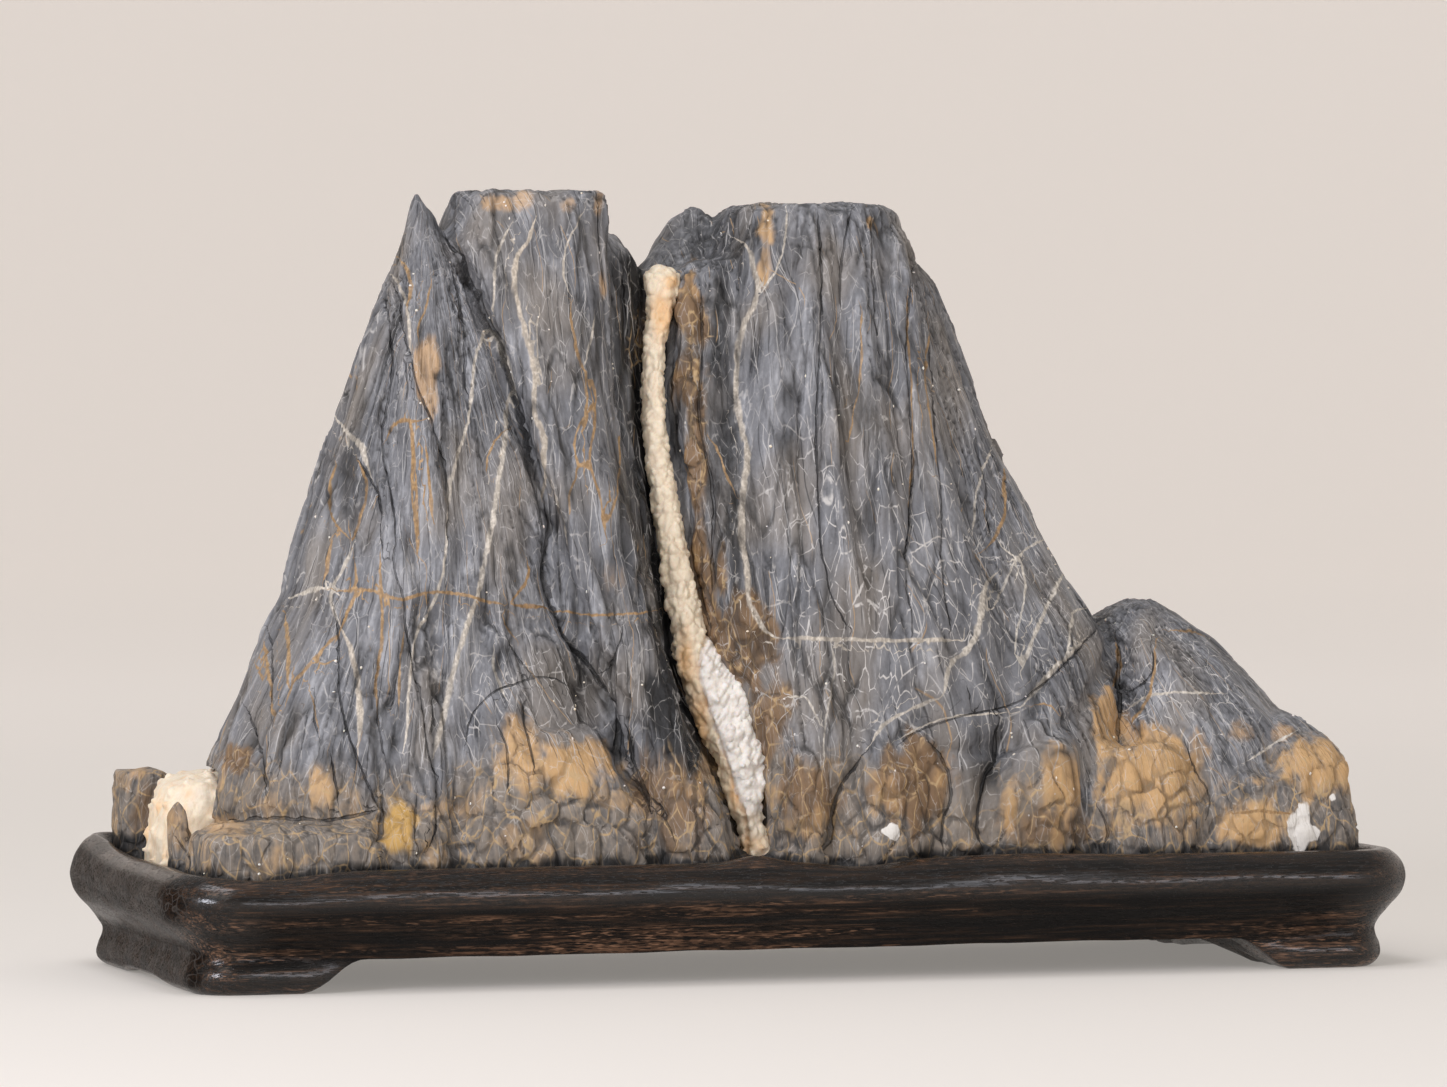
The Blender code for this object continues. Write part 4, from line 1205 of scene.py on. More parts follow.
@dataclass(frozen=True)
class HardwoodFinish:
    """Wenge, carved and waxed: near-black brown with open pores and a soft shine."""

    dark: str = "#0b0807"
    body: str = "#20160f"
    streak: str = "#5c4332"
    fleck: str = "#80604a"
    pore: str = "#040303"
    squiggle: str = "#4e4a47"
    roughness: float = 0.19
    shine: float = 0.15
    rubbed_shine: float = 0.36
    bump: float = 0.16

    def make(self) -> bpy.types.Material:
        """Build the material.

        Returns:
            The material.
        """
        recipe = Recipe("waxed_wenge")
        # The wood's grain runs along the stand: streaks 26 mm long and 1 mm wide, with pores
        # 3 mm long and 0.3 mm wide, drawn 0.5 mm wide so that they show.
        bands = recipe.pattern((170.0, 9.0, 6.0), 2.0, 2.0)
        streaks = recipe.pattern((26.0, 1.0, 0.9), 2.0, 9.0)
        fibre = recipe.pattern((7.0, 0.45, 0.4), 1.0)
        flecks = recipe.pattern((3.6, 0.5, 0.42), 1.0, 15.0)
        pores = recipe.share(Fade(flecks, 0.55, 0.63), Fade(bands, 0.35, 0.6, 0.5, 1.0))
        end, rim, rubbed = recipe.attribute("wood")
        along = recipe.share(Fade(end, 0.1, 0.9, 1.0, 0.2), Fade(rim, 0.0, 1.0, 1.0, 0.45))
        tone = recipe.weighed((bands, 0.45), (streaks, 0.55))
        colour = recipe.lay(self.dark, self.body, Fade(tone, 0.4, 0.52))
        colour = recipe.lay(colour, self.streak, Fade(tone, 0.5, 0.64, 0.0, 0.85), along)
        colour = recipe.lay(colour, self.fleck, Fade(flecks, 0.42, 0.3),
                            Fade(bands, 0.42, 0.58), along, 0.75)
        colour = recipe.lay(colour, self.pore, pores, 0.9)
        # Across the ends the pores are cut through, and show as squiggles.
        cut = recipe.share(recipe.net((4.0, 4.0, 4.0), 5.0, 1.3, 0.07), end)
        colour = recipe.lay(colour, self.squiggle, cut, 0.55)
        rough = recipe.weighed((fibre, 0.25), (pores, 0.3), (end, 0.14), (rubbed, -0.06),
                               (1.0, self.roughness - 0.06))
        recipe.tree.links.new(rough, recipe.shader.inputs["Roughness"])
        # Hands have rubbed the rim and the feet brighter than the band between them.
        shine = recipe.weighed((rubbed, self.rubbed_shine), (1.0, self.shine))
        shine = recipe.share(shine, Fade(end, 0.0, 1.0, 1.0, 0.08))
        recipe.tree.links.new(shine, recipe.shader.inputs["Specular IOR Level"])
        recipe.finish(colour, self.bump, (fibre, 0.12), (pores, -0.7), (streaks, 0.35))
        return recipe.material


@dataclass(frozen=True)
class PaperFinish:
    """Matt background paper that glows a little in its own tone, a painted light that keeps any
    shadow on it from being deep.
    """

    near: str = "#cfcac4"
    far: str = "#e3ddd8"
    glow: float = 0.36

    def make(self) -> bpy.types.Material:
        """Build the material.

        Returns:
            The material.
        """
        recipe = Recipe("background_paper")
        shader, links = recipe.shader, recipe.tree.links
        away = add_node(recipe.tree, "ShaderNodeVectorMath", {0: recipe.place}, "Value",
                        operation="LENGTH")
        tone = recipe.lay(self.near, self.far, Fade(away, 300.0, 1900.0))
        links.new(tone, shader.inputs["Base Color"])
        # The glow is painted light: it lifts the shadows on the paper and lights what stands on it.
        links.new(tone, shader.inputs["Emission Color"])
        shader.inputs["Emission Strength"].default_value = self.glow
        shader.inputs["Roughness"].default_value = 0.9
        return recipe.material


@dataclass(frozen=True)
class Grain:
    """The rock's upright grain, which fans out towards the foot."""

    guides: tuple = GRAIN_GUIDES
    fault: tuple = FAULT
    fault_end: float = -29.0

    def across(self, place: np.ndarray, facing: np.ndarray) -> np.ndarray:
        """Number the grain that runs through each place.

        Args:
            place: N places.
            facing: The way that each faces.

        Returns:
            N numbers, about a millimetre apart where the rock is narrow.
        """
        spots = VIEW.flatten(place)
        line = np.array(self.fault)
        past = spots[:, 0] > np.interp(spots[:, 1], line[::-1, 1], line[::-1, 0])
        past &= (place[:, 0] < self.fault_end) & (facing @ VIEW.axes()[2] > 0.0)
        fanned = self.fanned(place)
        upright = place[:, 0] + 0.05 * (place[:, 2] - 100.0)
        return np.where(past, upright + 300.0, fanned)

    def fanned(self, place: np.ndarray) -> np.ndarray:
        """Number the grain by the guides alone.

        Args:
            place: N places.

        Returns:
            N numbers.
        """
        x, z = place[:, 0], place[:, 2]
        lines = []
        for guide in self.guides:
            heights, xs = np.array(sorted(guide.points)).T
            lines.append(np.interp(z, heights, xs))
        number = self.guides[0].number + np.minimum(x - lines[0], 0.0)
        for left, right, low, high in zip(lines, lines[1:], self.guides, self.guides[1:]):
            share = np.clip((x - left) / np.maximum(right - left, 0.5), 0.0, 1.0)
            number += share * (high.number - low.number)
        return number + np.maximum(x - lines[-1], 0.0)


class Relief(NamedTuple):
    """What weathering does at each vertex of the stone, and how far each lies in a groove that is
    painted in shade.
    """
    lift: np.ndarray
    groove: np.ndarray
    plate_gap: np.ndarray
    plate_tone: np.ndarray
    foot: np.ndarray


@dataclass
class StoneSkin:
    """The stone's weathered surface, grown over its solid."""

    source: bpy.types.Object
    cell: float = 0.74
    squash: float = 0.68
    smoothing: int = 3
    triangles: int = 196000
    base: float = 22.3
    seat_half_length: float = 163.9
    seat_half_depth: float = 58.9
    rib_width: float = 6.4
    rib_height: float = 0.9
    strip_width: float = 5.0
    strip_length: float = 150.0
    strip_step: float = 1.0
    groove_depth: float = 1.1
    ripple_width: float = 2.3
    ripple_length: float = 80.0
    ripple_height: float = 0.5
    grit_size: float = 4.5
    grit_height: float = 0.2
    plate_width: float = 7.5
    plate_height: float = 9.5
    plate_gap_depth: float = 0.6
    plate_swell: float = 0.8
    plate_step: float = 0.8
    grain: Grain = Grain()

    def relief(self, place: np.ndarray, facing: np.ndarray, ledge: np.ndarray) -> Relief:
        """Weather the skin: strips and grooves along the grain, cracked plates at the foot.

        Args:
            place: N places on the softened skin.
            facing: The way that each faces.
            ledge: How far each is part of the brown ledge, which is plated as the foot is.

        Returns:
            The relief at each place.
        """
        number = self.grain.across(place, facing)
        draped = ramp(place[:, 1], 2.0, 14.0) * ramp(place[:, 2], 140.0, 165.0)
        draped *= ramp(np.abs(place[:, 0] + 32.0), 42.0, 32.0)
        number = number - draped * 0.7 * place[:, 2]
        side, height = place[:, 1], place[:, 2]

        def stretched(width: float, length: float) -> np.ndarray:
            """The places, drawn out along the grain."""
            return np.column_stack([number / width, side / (1.5 * width), height / length])

        spots = VIEW.flatten(place)
        edge = np.interp(spots[:, 0], *np.array(FOOT_TOP).T)
        edge = edge + 7.0 * Grit.rough(stretched(9.0, 30.0), 3, 60)
        foot = np.maximum(ramp(height, edge + 5.0, edge - 9.0), ledge)
        upright = 1.0 - 0.88 * foot
        drift = 0.35 * np.column_stack([Grit.waves(stretched(14.0, 45.0), 30 + k)
                                        for k in range(3)])
        broad = Grit.waves(stretched(self.rib_width, 88.0), 1)
        gap, tone = Grit.cells(stretched(self.strip_width, self.strip_length) + drift, 21)
        fine_gap, fine_tone = Grit.cells(stretched(self.ripple_width, self.ripple_length)
                                         + drift, 22)
        kept = ramp(Grit.waves(stretched(13.0, 50.0), 4), -0.6, 0.2)
        groove = np.exp(-(gap / 0.075) ** 2) * kept
        nick = np.exp(-(fine_gap / 0.12) ** 2) * (0.25 + 0.75 * kept)
        lift = upright * self.rib_height * (np.abs(broad) - 0.3)
        lift += upright * self.strip_step * (tone - 0.5) * ramp(gap, 0.0, 0.16)
        lift -= upright * self.groove_depth * groove
        lift += upright * self.ripple_height * ((fine_tone - 0.5) * ramp(fine_gap, 0.0, 0.2) - nick)
        lift += self.grit_height * (1.0 + 1.2 * foot) * Grit.rough(place / self.grit_size, 3, 5)
        joint = np.exp(-(Grit.waves(stretched(34.0, 17.0), 7) / 0.03) ** 2) * upright
        joint *= ramp(Grit.waves(place / 25.0, 8), 0.1, 0.5)
        lift -= 0.45 * joint
        warp = 0.3 * np.column_stack([Grit.waves(place / 9.0, 9 + k) for k in range(3)])
        sizes = (self.plate_width, self.plate_width, self.plate_height)
        plate_gap, plate_tone = Grit.cells(place / sizes + warp, 12)
        lift += foot * self.plate_swell * (np.minimum(plate_gap, 0.4) - 0.25)
        lift += foot * self.plate_step * (plate_tone - 0.5) * ramp(plate_gap, 0.0, 0.1)
        lift -= foot * self.plate_gap_depth * ramp(plate_gap, 0.14, 0.02)
        calm = np.ones(len(place))
        for spot in CALM:
            away = (spots - (spot.across, spot.up)) / (spot.half_across, spot.half_up)
            calm = np.minimum(calm, 1.0 - spot.share * np.exp(-(away ** 4).sum(axis=1)))
        lift *= calm
        # How far each place lies in a groove, nick or joint, for the painted shade there.
        grooves = np.clip((0.9 * groove + 0.4 * nick + 0.5 * joint) * upright, 0.0, 1.0)
        lift *= ramp(height, self.base, self.base + 3.0)
        lift *= ramp(-facing[:, 2], 0.95, 0.6) * (1.0 - 0.65 * ramp(facing[:, 2], 0.3, 0.75))
        return Relief(lift, grooves, plate_gap, plate_tone, foot)

    @staticmethod
    def add_crests(piece: bpy.types.Object) -> None:
        """Join the crisp masses on, for the new skin to run over.

        Args:
            piece: The stone, before its new skin.
        """
        shape = bmesh.new()
        shape.from_mesh(piece.data)
        turn = np.linspace(0.0, 2 * math.pi, 96, endpoint=False)
        c, s = np.cos(turn), np.sin(turn)
        for crest in CRESTS:
            power = crest.squareness
            reach = (np.abs(c) ** power + np.abs(s) ** power) ** (-1 / power)
            rings = [np.column_stack([(left + right) / 2 + (right - left) / 2 * reach * c,
                                      (front + back) / 2 + (back - front) / 2 * reach * s,
                                      np.full(len(turn), z)])
                     for z, left, right, front, back in crest.courses]
            added = new_piece("crest", *lofted(rings))
            shape.from_mesh(added.data)
            bpy.data.meshes.remove(added.data)
        shape.to_mesh(piece.data)
        shape.free()

    def thin_underside(self, piece: bpy.types.Object) -> None:
        """Swap the many small faces of the hidden flat underside for a few.

        Args:
            piece: The stone.
        """
        shape = bmesh.new()
        shape.from_mesh(piece.data)
        low = (self.base + 0.25) * MM
        hidden = [face for face in shape.faces
                  if face.normal.z < -0.9 and all(vert.co.z < low for vert in face.verts)]
        bmesh.ops.delete(shape, geom=hidden, context="FACES")
        rim = [edge for edge in shape.edges if edge.is_boundary]
        bmesh.ops.holes_fill(shape, edges=rim, sides=0)
        bmesh.ops.triangulate(shape, faces=[face for face in shape.faces if len(face.verts) > 4])
        bmesh.ops.recalc_face_normals(shape, faces=shape.faces[:])
        shape.to_mesh(piece.data)
        shape.free()

    def build(self) -> bpy.types.Object:
        """Grow the skin, weather it and note what its finish needs at each vertex.

        Returns:
            The finished piece.
        """
        coarse = 1.0
        piece = merged_copy(self.source, "weathered_stone")
        self.add_crests(piece)
        reskin(piece, self.cell * coarse, int(self.smoothing / coarse), self.squash)
        self.thin_underside(piece)
        place, facing = coordinates(piece.data), normals(piece.data)
        spots = VIEW.flatten(place)
        tones = self.tones(place, spots)
        relief = self.relief(place, facing, ramp(tones[Tone.BROWN], 0.3, 0.8))
        to_view = facing @ VIEW.axes()[2]
        behind = to_view < 0.0
        spots[behind] = spots[behind] * (1.0, 0.94) + (13.0, 4.0)
        seen = ramp(np.abs(to_view), 0.04, 0.22)
        crack = nearest_seam(spots, CRACKS, 100)
        pale = nearest_seam(spots, PALE_VEINS, 300)
        stained = nearest_seam(spots, STAINED_VEINS, 500)
        open_half = np.maximum(crack.half_width, 0.05) * 1.1
        notch = np.exp(-(crack.offset / open_half) ** 2) * ramp(crack.half_width, 0.0, 0.25) * seen
        shoulder = np.exp(-(crack.offset / (crack.half_width * 5.0 + 0.3)) ** 2) * seen
        shoulder *= ramp(crack.half_width, 0.2, 0.5)
        lift = relief.lift - crack.carried * (0.75 * notch + 0.45 * shoulder)
        for vein in (pale, stained):
            proud = np.exp(-(vein.offset / np.maximum(vein.half_width * 1.6, 0.1)) ** 2)
            lift += 0.4 * vein.half_width * proud * seen
        moved = place + facing * lift[:, None]
        moved[:, 0] = np.clip(moved[:, 0], -self.seat_half_length, self.seat_half_length)
        moved[:, 1] = np.clip(moved[:, 1], -self.seat_half_depth, self.seat_half_depth)
        moved[:, 2] = np.maximum(moved[:, 2], self.base)
        set_coordinates(piece.data, moved)
        number = self.grain.across(place, facing)
        store(piece.data, "grain", (number, place[:, 1], place[:, 2]))
        store(piece.data, "crack", (crack.offset, crack.half_width * seen, notch))
        store(piece.data, "pale_vein", (pale.offset, pale.half_width * seen, pale.carried))
        store(piece.data, "stained_vein",
              (stained.offset, stained.half_width * seen, stained.carried))
        # Painted shadow under the stand's rim, laid in with the dark shade and the grooves.
        seat_shadow = self.seat_shadow(place)
        tones[Tone.DARK] = np.maximum(tones[Tone.DARK], seat_shadow)
        groove = np.maximum(relief.groove, seat_shadow)
        store(piece.data, "relief", (groove, relief.plate_gap, relief.plate_tone))
        mottle = relief.foot * ramp(Grit.rough(place / (13.0, 13.0, 9.0), 3, 44), -0.1, 0.55)
        tones[Tone.OCHRE] = np.maximum(tones[Tone.OCHRE], 0.45 * mottle)
        tones[Tone.BROWN] = np.maximum(tones[Tone.BROWN], 0.22 * relief.foot)
        store(piece.data, "iron", (tones[Tone.OCHRE], tones[Tone.BROWN], relief.foot))
        store(piece.data, "stains_and_shade", (tones[Tone.TAN], tones[Tone.WHITE], tones[Tone.DARK]))
        web = sum(strength * np.exp(-(((spots - (across, up)) / (wide, tall)) ** 2).sum(axis=1))
                  for across, up, wide, tall, strength in WEB_THICK)
        store(piece.data, "web", (0.25 + web, tones[Tone.GOLD], np.zeros(len(place))))
        thin(piece, self.triangles)
        return piece

    @staticmethod
    def seat_shadow(place: np.ndarray) -> np.ndarray:
        """How dark the painted shadow is in the uneven gap where the stone sinks behind the stand's
        rim.

        Args:
            place: N places.

        Returns:
            N shares, 1 below the rim.
        """
        stand = CarvedStand()
        rim_side = np.where(place[:, 1] < 0.0, -60.0, 56.0)
        rim_top = stand.rim_top + stand.rim(np.column_stack([place[:, 0], rim_side]))
        uneven = 1.9 * Grit.rough(place / (8.0, 8.0, 30.0), 2, 61)
        return ramp(place[:, 2] - rim_top + uneven, 1.4, 0.8)

    @staticmethod
    def tones(place: np.ndarray, spots: np.ndarray) -> dict[Tone, np.ndarray]:
        """How strongly each tone, a stain or painted shade, marks each vertex, with edges ragged
        along the grain.

        Args:
            place: N places.
            spots: Where each lands in the front view.

        Returns:
            N shares for each tone.
        """
        ragged = 0.5 * Grit.rough(place / (4.0, 4.0, 15.0), 4, 40)
        found = {tone: np.zeros(len(place)) for tone in Tone}
        for tone, stains in STAINS.items():
            for across, up, half_across, half_up, strength in stains:
                away = (spots - (across, up)) / (half_across, half_up)
                share = strength * ramp(np.hypot(*away.T) + ragged, 1.5, 0.45)
                found[tone] = np.maximum(found[tone], share)
        return found


@dataclass
class Lumps:
    """Grains or lumps scattered over a piece with Geometry Nodes."""

    size: float
    density: float
    seed: int
    unevenness: float = 0.6
    subdivisions: int = 1
    keep: bool = True

    def tree(self, material: bpy.types.Material) -> bpy.types.NodeTree:
        """Build the tree: scatter points, set a lump on each, realize and finish them.

        Args:
            material: What the lumps are made of.

        Returns:
            The tree, whose inputs are the lumps' size, density, seed and unevenness.
        """
        tree = bpy.data.node_groups.new("lumps", "GeometryNodeTree")
        face = tree.interface
        face.new_socket("Geometry", in_out="INPUT", socket_type="NodeSocketGeometry")
        for name, kind in (("Size", "NodeSocketFloat"), ("Density", "NodeSocketFloat"),
                           ("Unevenness", "NodeSocketFloat"), ("Seed", "NodeSocketInt")):
            face.new_socket(name, in_out="INPUT", socket_type=kind)
        face.new_socket("Geometry", in_out="OUTPUT", socket_type="NodeSocketGeometry")
        given = tree.nodes.new("NodeGroupInput").outputs
        share = add_node(tree, "GeometryNodeInputNamedAttribute", {"Name": "lumpy"},
                         "Attribute", data_type="FLOAT")
        density = add_node(tree, "ShaderNodeMath", {0: given["Density"], 1: share},
                           operation="MULTIPLY")
        points = add_node(tree, "GeometryNodeDistributePointsOnFaces",
                          {"Mesh": given["Geometry"], "Density": density, "Seed": given["Seed"]},
                          "Points", distribute_method="RANDOM")
        turn = points.node.outputs["Rotation"]
        least = add_node(tree, "ShaderNodeMath", {0: 1.0, 1: given["Unevenness"]},
                         operation="SUBTRACT")
        most = add_node(tree, "ShaderNodeMath", {0: 1.0, 1: given["Unevenness"]},
                        operation="ADD")
        swell = add_node(tree, "FunctionNodeRandomValue",
                         {"Seed": given["Seed"]}, data_type="FLOAT_VECTOR")
        ranged = swell.node.inputs
        low = add_node(tree, "ShaderNodeCombineXYZ", {0: least, 1: least, 2: least})
        high = add_node(tree, "ShaderNodeCombineXYZ", {0: most, 1: most, 2: most})
        tree.links.new(low, ranged[0])
        tree.links.new(high, ranged[1])
        ball = add_node(tree, "GeometryNodeMeshIcoSphere",
                        {"Radius": given["Size"], "Subdivisions": self.subdivisions}, "Mesh")
        placed = add_node(tree, "GeometryNodeInstanceOnPoints",
                          {"Points": points, "Instance": ball, "Rotation": turn, "Scale": swell})
        real = add_node(tree, "GeometryNodeRealizeInstances", {"Geometry": placed})
        if self.keep:
            join = tree.nodes.new("GeometryNodeJoinGeometry")
            tree.links.new(given["Geometry"], join.inputs[0])
            tree.links.new(real, join.inputs[0])
            real = join.outputs[0]
        finished = add_node(tree, "GeometryNodeSetMaterial",
                            {"Geometry": real, "Material": material})
        result = tree.nodes.new("NodeGroupOutput")
        tree.links.new(finished, result.inputs[0])
        return tree

    def scatter(self, piece: bpy.types.Object, share: np.ndarray,
                material: bpy.types.Material) -> None:
        """Scatter the lumps over a piece and turn the result into its mesh.

        Args:
            piece: The piece.
            share: How thickly they grow at each vertex, from 0 to 1.
            material: What they are made of.
        """
        layer = piece.data.attributes.new("lumpy", "FLOAT", "POINT")
        layer.data.foreach_set("value", share.astype(np.float32))
        maker = piece.modifiers.new("lumps", "NODES")
        tree = self.tree(material)
        maker.node_group = tree
        values = {"Size": self.size * MM, "Density": self.density / MM ** 2,
                  "Unevenness": self.unevenness, "Seed": self.seed}
        for socket in tree.interface.items_tree:
            if socket.in_out == "INPUT" and socket.name in values:
                maker[socket.identifier] = values[socket.name]
        bake(piece)


@dataclass
class CalciteRope:
    """The rope of calcite that runs down the cleft between the two mountains."""

    beads: tuple = ROPE_BEADS
    spacing: float = 0.8
    sides: int = 44
    wave: float = 5.5
    waviness: float = 0.2
    lump_height: float = 0.5
    lump_size: float = 3.1
    cell: float = 0.5
    smoothing: int = 5
    crust: float = 0.14

    def body(self) -> bpy.types.Object:
        """Loft the rope's swelling body.

        Returns:
            The piece, before its lumps.
        """
        heights = np.arange(self.beads[-1][0], self.beads[0][0] + 0.01, self.spacing)
        rows = spline(self.beads, heights) - (0.0, 0.0, self.lump_height, self.lump_height)
        turn = np.linspace(0.0, 2 * math.pi, self.sides, endpoint=False)
        c, s = np.cos(turn), np.sin(turn)
        rings = []
        top, bottom = heights[-1], heights[0]
        for z, (x, y, across, deep) in zip(heights, rows):
            round_top = math.sqrt(max(0.0, 1.0 - max(0.0, 1.0 - (top - z) / across) ** 2))
            round_low = math.sqrt(max(0.0, 1.0 - max(0.0, 1.0 - (z - bottom) / 2.0) ** 2))
            across, deep = (max(0.3, half * round_top * round_low) for half in (across, deep))
            spots = np.column_stack([x + 9.0 * c, y + 9.0 * s, np.full(self.sides, z)])
            swell = 1.0 + self.waviness * Grit.rough(spots / self.wave, 2, 71)
            rings.append(np.column_stack([x + across * swell * c, y + deep * swell * s,
                                          np.full(self.sides, z)]))
        return new_piece("calcite_rope", *lofted(rings))

    def lobe(self, place: np.ndarray) -> tuple[np.ndarray, np.ndarray]:
        """Where the chalky lobe is.

        Args:
            place: N places on the rope.

        Returns:
            How far each is past the crease, and its share of chalk.
        """
        spots = VIEW.flatten(place)
        crease = np.array(ROPE_CREASE)
        aside = spots[:, 0] - np.interp(spots[:, 1], crease[::-1, 1], crease[::-1, 0])
        low = ramp(spots[:, 1], 91.0, 87.0) * (1.0 - 0.8 * ramp(spots[:, 1], 46.0, 40.0))
        chalk = low * ramp(aside + 0.8 * Grit.rough(place / 3.0, 2, 76), -0.4, 0.6)
        return np.where(low > 0.0, aside, 99.0), chalk

    def build(self, material: bpy.types.Material) -> bpy.types.Object:
        """Grow knobs on the chalky lobe, fuse them, and raise low lumps over the rest.

        Args:
            material: The calcite.

        Returns:
            The finished piece.
        """
        piece = self.body()
        _, share = self.lobe(coordinates(piece.data))
        Lumps(size=1.1, density=0.16, seed=5, unevenness=0.4).scatter(piece, share, material)
        reskin(piece, self.cell, self.smoothing)
        place, facing = coordinates(piece.data), normals(piece.data)
        spots = VIEW.flatten(place)
        aside, chalk = self.lobe(place)
        stray = 0.35 * np.column_stack([Grit.waves(place / 5.0, 77 + k) for k in range(3)])
        gap, swell = Grit.cells(place / self.lump_size + stray, 75)
        amber = sum(np.exp(-(((spots - (across, up)) / (wide, tall)) ** 2).sum(axis=1))
                    for across, up, wide, tall in AMBER_SPOTS)
        folds = Grit.waves(np.column_stack([spots[:, 0] * 0.5 - spots[:, 1] * 0.3,
                                            spots[:, 1] * 0.16, place[:, 1] * 0.2]), 73)
        crust = self.crust * Grit.rough(place / (2.4, 2.4, 3.0), 3, 74)
        wrinkle = np.exp(-(folds / 0.12) ** 2)
        split = np.exp(-(aside / 0.6) ** 2)
        lift = crust * (1.0 + 1.5 * chalk) - 0.55 * wrinkle * (0.15 + 0.85 * chalk)
        lift += 0.5 * chalk - 0.9 * split
        lift += (1.0 - 0.6 * chalk) * self.lump_height * (ramp(gap, 0.0, 0.4) + 0.5 * swell - 0.6)
        set_coordinates(piece.data, place + facing * lift[:, None])
        hollow = 0.3 * ramp(gap, 0.16, 0.02) * (1.0 - 0.6 * chalk) + 0.5 * split
        store(piece.data, "growth", (np.clip(amber * (1.0 - chalk), 0, 1), chalk, hollow))
        return piece


@dataclass
class CalcitePocket:
    """The rounded calcite that grew in a hollow at the rock's left end."""

    courses: tuple = POCKET_COURSES
    squareness: float = 2.7
    sides: int = 72
    spacing: float = 0.9
    wave: float = 8.0
    waviness: float = 0.09
    cell: float = 0.6
    smoothing: int = 3
    crust: float = 0.22

    def body(self) -> bpy.types.Object:
        """Loft the pocket's rounded body.

        Returns:
            The piece, before its lumps.
        """
        heights = np.arange(self.courses[0][0], self.courses[-1][0] + 0.01, self.spacing)
        rows = spline(self.courses, heights)
        turn = np.linspace(0.0, 2 * math.pi, self.sides, endpoint=False)
        c, s = np.cos(turn), np.sin(turn)
        power = self.squareness
        reach = (np.abs(c) ** power + np.abs(s) ** power) ** (-1 / power)
        rings = []
        for z, (left, right, front, back) in zip(heights, rows):
            shut = math.sqrt(max(0.02, 1.0 - max(0.0, (z - heights[-1]) / 4.0 + 1.0) ** 2))
            spots = np.column_stack([left + 12.0 * c, front + 20.0 * s, np.full(self.sides, z)])
            swell = shut * (1.0 + self.waviness * Grit.rough(spots / self.wave, 2, 81))
            rings.append(np.column_stack([
                (left + right) / 2 + (right - left) / 2 * reach * c * swell,
                (front + back) / 2 + (back - front) / 2 * reach * s * swell,
                np.full(self.sides, z)]))
        return new_piece("calcite_pocket_crust", *lofted(rings))

    def build(self, material: bpy.types.Material) -> bpy.types.Object:
        """Grow lumps on the body, fuse them and roughen the crust.

        Args:
            material: The calcite.

        Returns:
            The finished piece.
        """
        piece = self.body()
        Lumps(size=1.3, density=0.03, seed=6).scatter(piece, np.ones(len(piece.data.vertices)),
                                                      material)
        reskin(piece, self.cell, self.smoothing)
        place, facing = coordinates(piece.data), normals(piece.data)
        crust = self.crust * Grit.rough(place / 2.6, 4, 82)
        lift = crust * ramp(place[:, 2], 26.0, 30.0)
        set_coordinates(piece.data, place + facing * lift[:, None])
        chalk = 0.15 * ramp(place[:, 2], 42.0, 51.0)
        amber = 0.4 + 0.4 * Grit.rough(place / (3.0, 3.0, 14.0), 2, 83)
        store(piece.data, "growth", (amber * (1.0 - chalk), chalk, ramp(-crust, 0.1, 0.4)))
        return piece


@dataclass
class CalciteSpecks:
    """White grains of calcite that stand proud of the slate."""

    size: float = 0.36
    density: float = 0.0042
    seed: int = 9

    def build(self, stone: bpy.types.Object, material: bpy.types.Material) -> bpy.types.Object:
        """Scatter the grains over the stone's skin.

        Args:
            stone: The finished stone.
            material: The calcite.

        Returns:
            The grains, as one piece.
        """
        piece = bpy.data.objects.new("calcite_specks", stone.data.copy())
        piece.data.name = piece.name
        bpy.context.scene.collection.objects.link(piece)
        place = coordinates(piece.data)
        patchy = ramp(Grit.rough(place / 22.0, 2, 91), -0.25, 0.35)
        share = patchy * ramp(place[:, 2], 24.0, 30.0)
        Lumps(self.size, self.density, self.seed, 0.55, keep=False).scatter(piece, share, material)
        place = coordinates(piece.data)
        chalk = 0.45 + 0.4 * Grit.waves(place / 7.0, 92)
        store(piece.data, "growth", (0.35 - 0.3 * chalk, chalk, np.zeros(len(place))))
        return piece


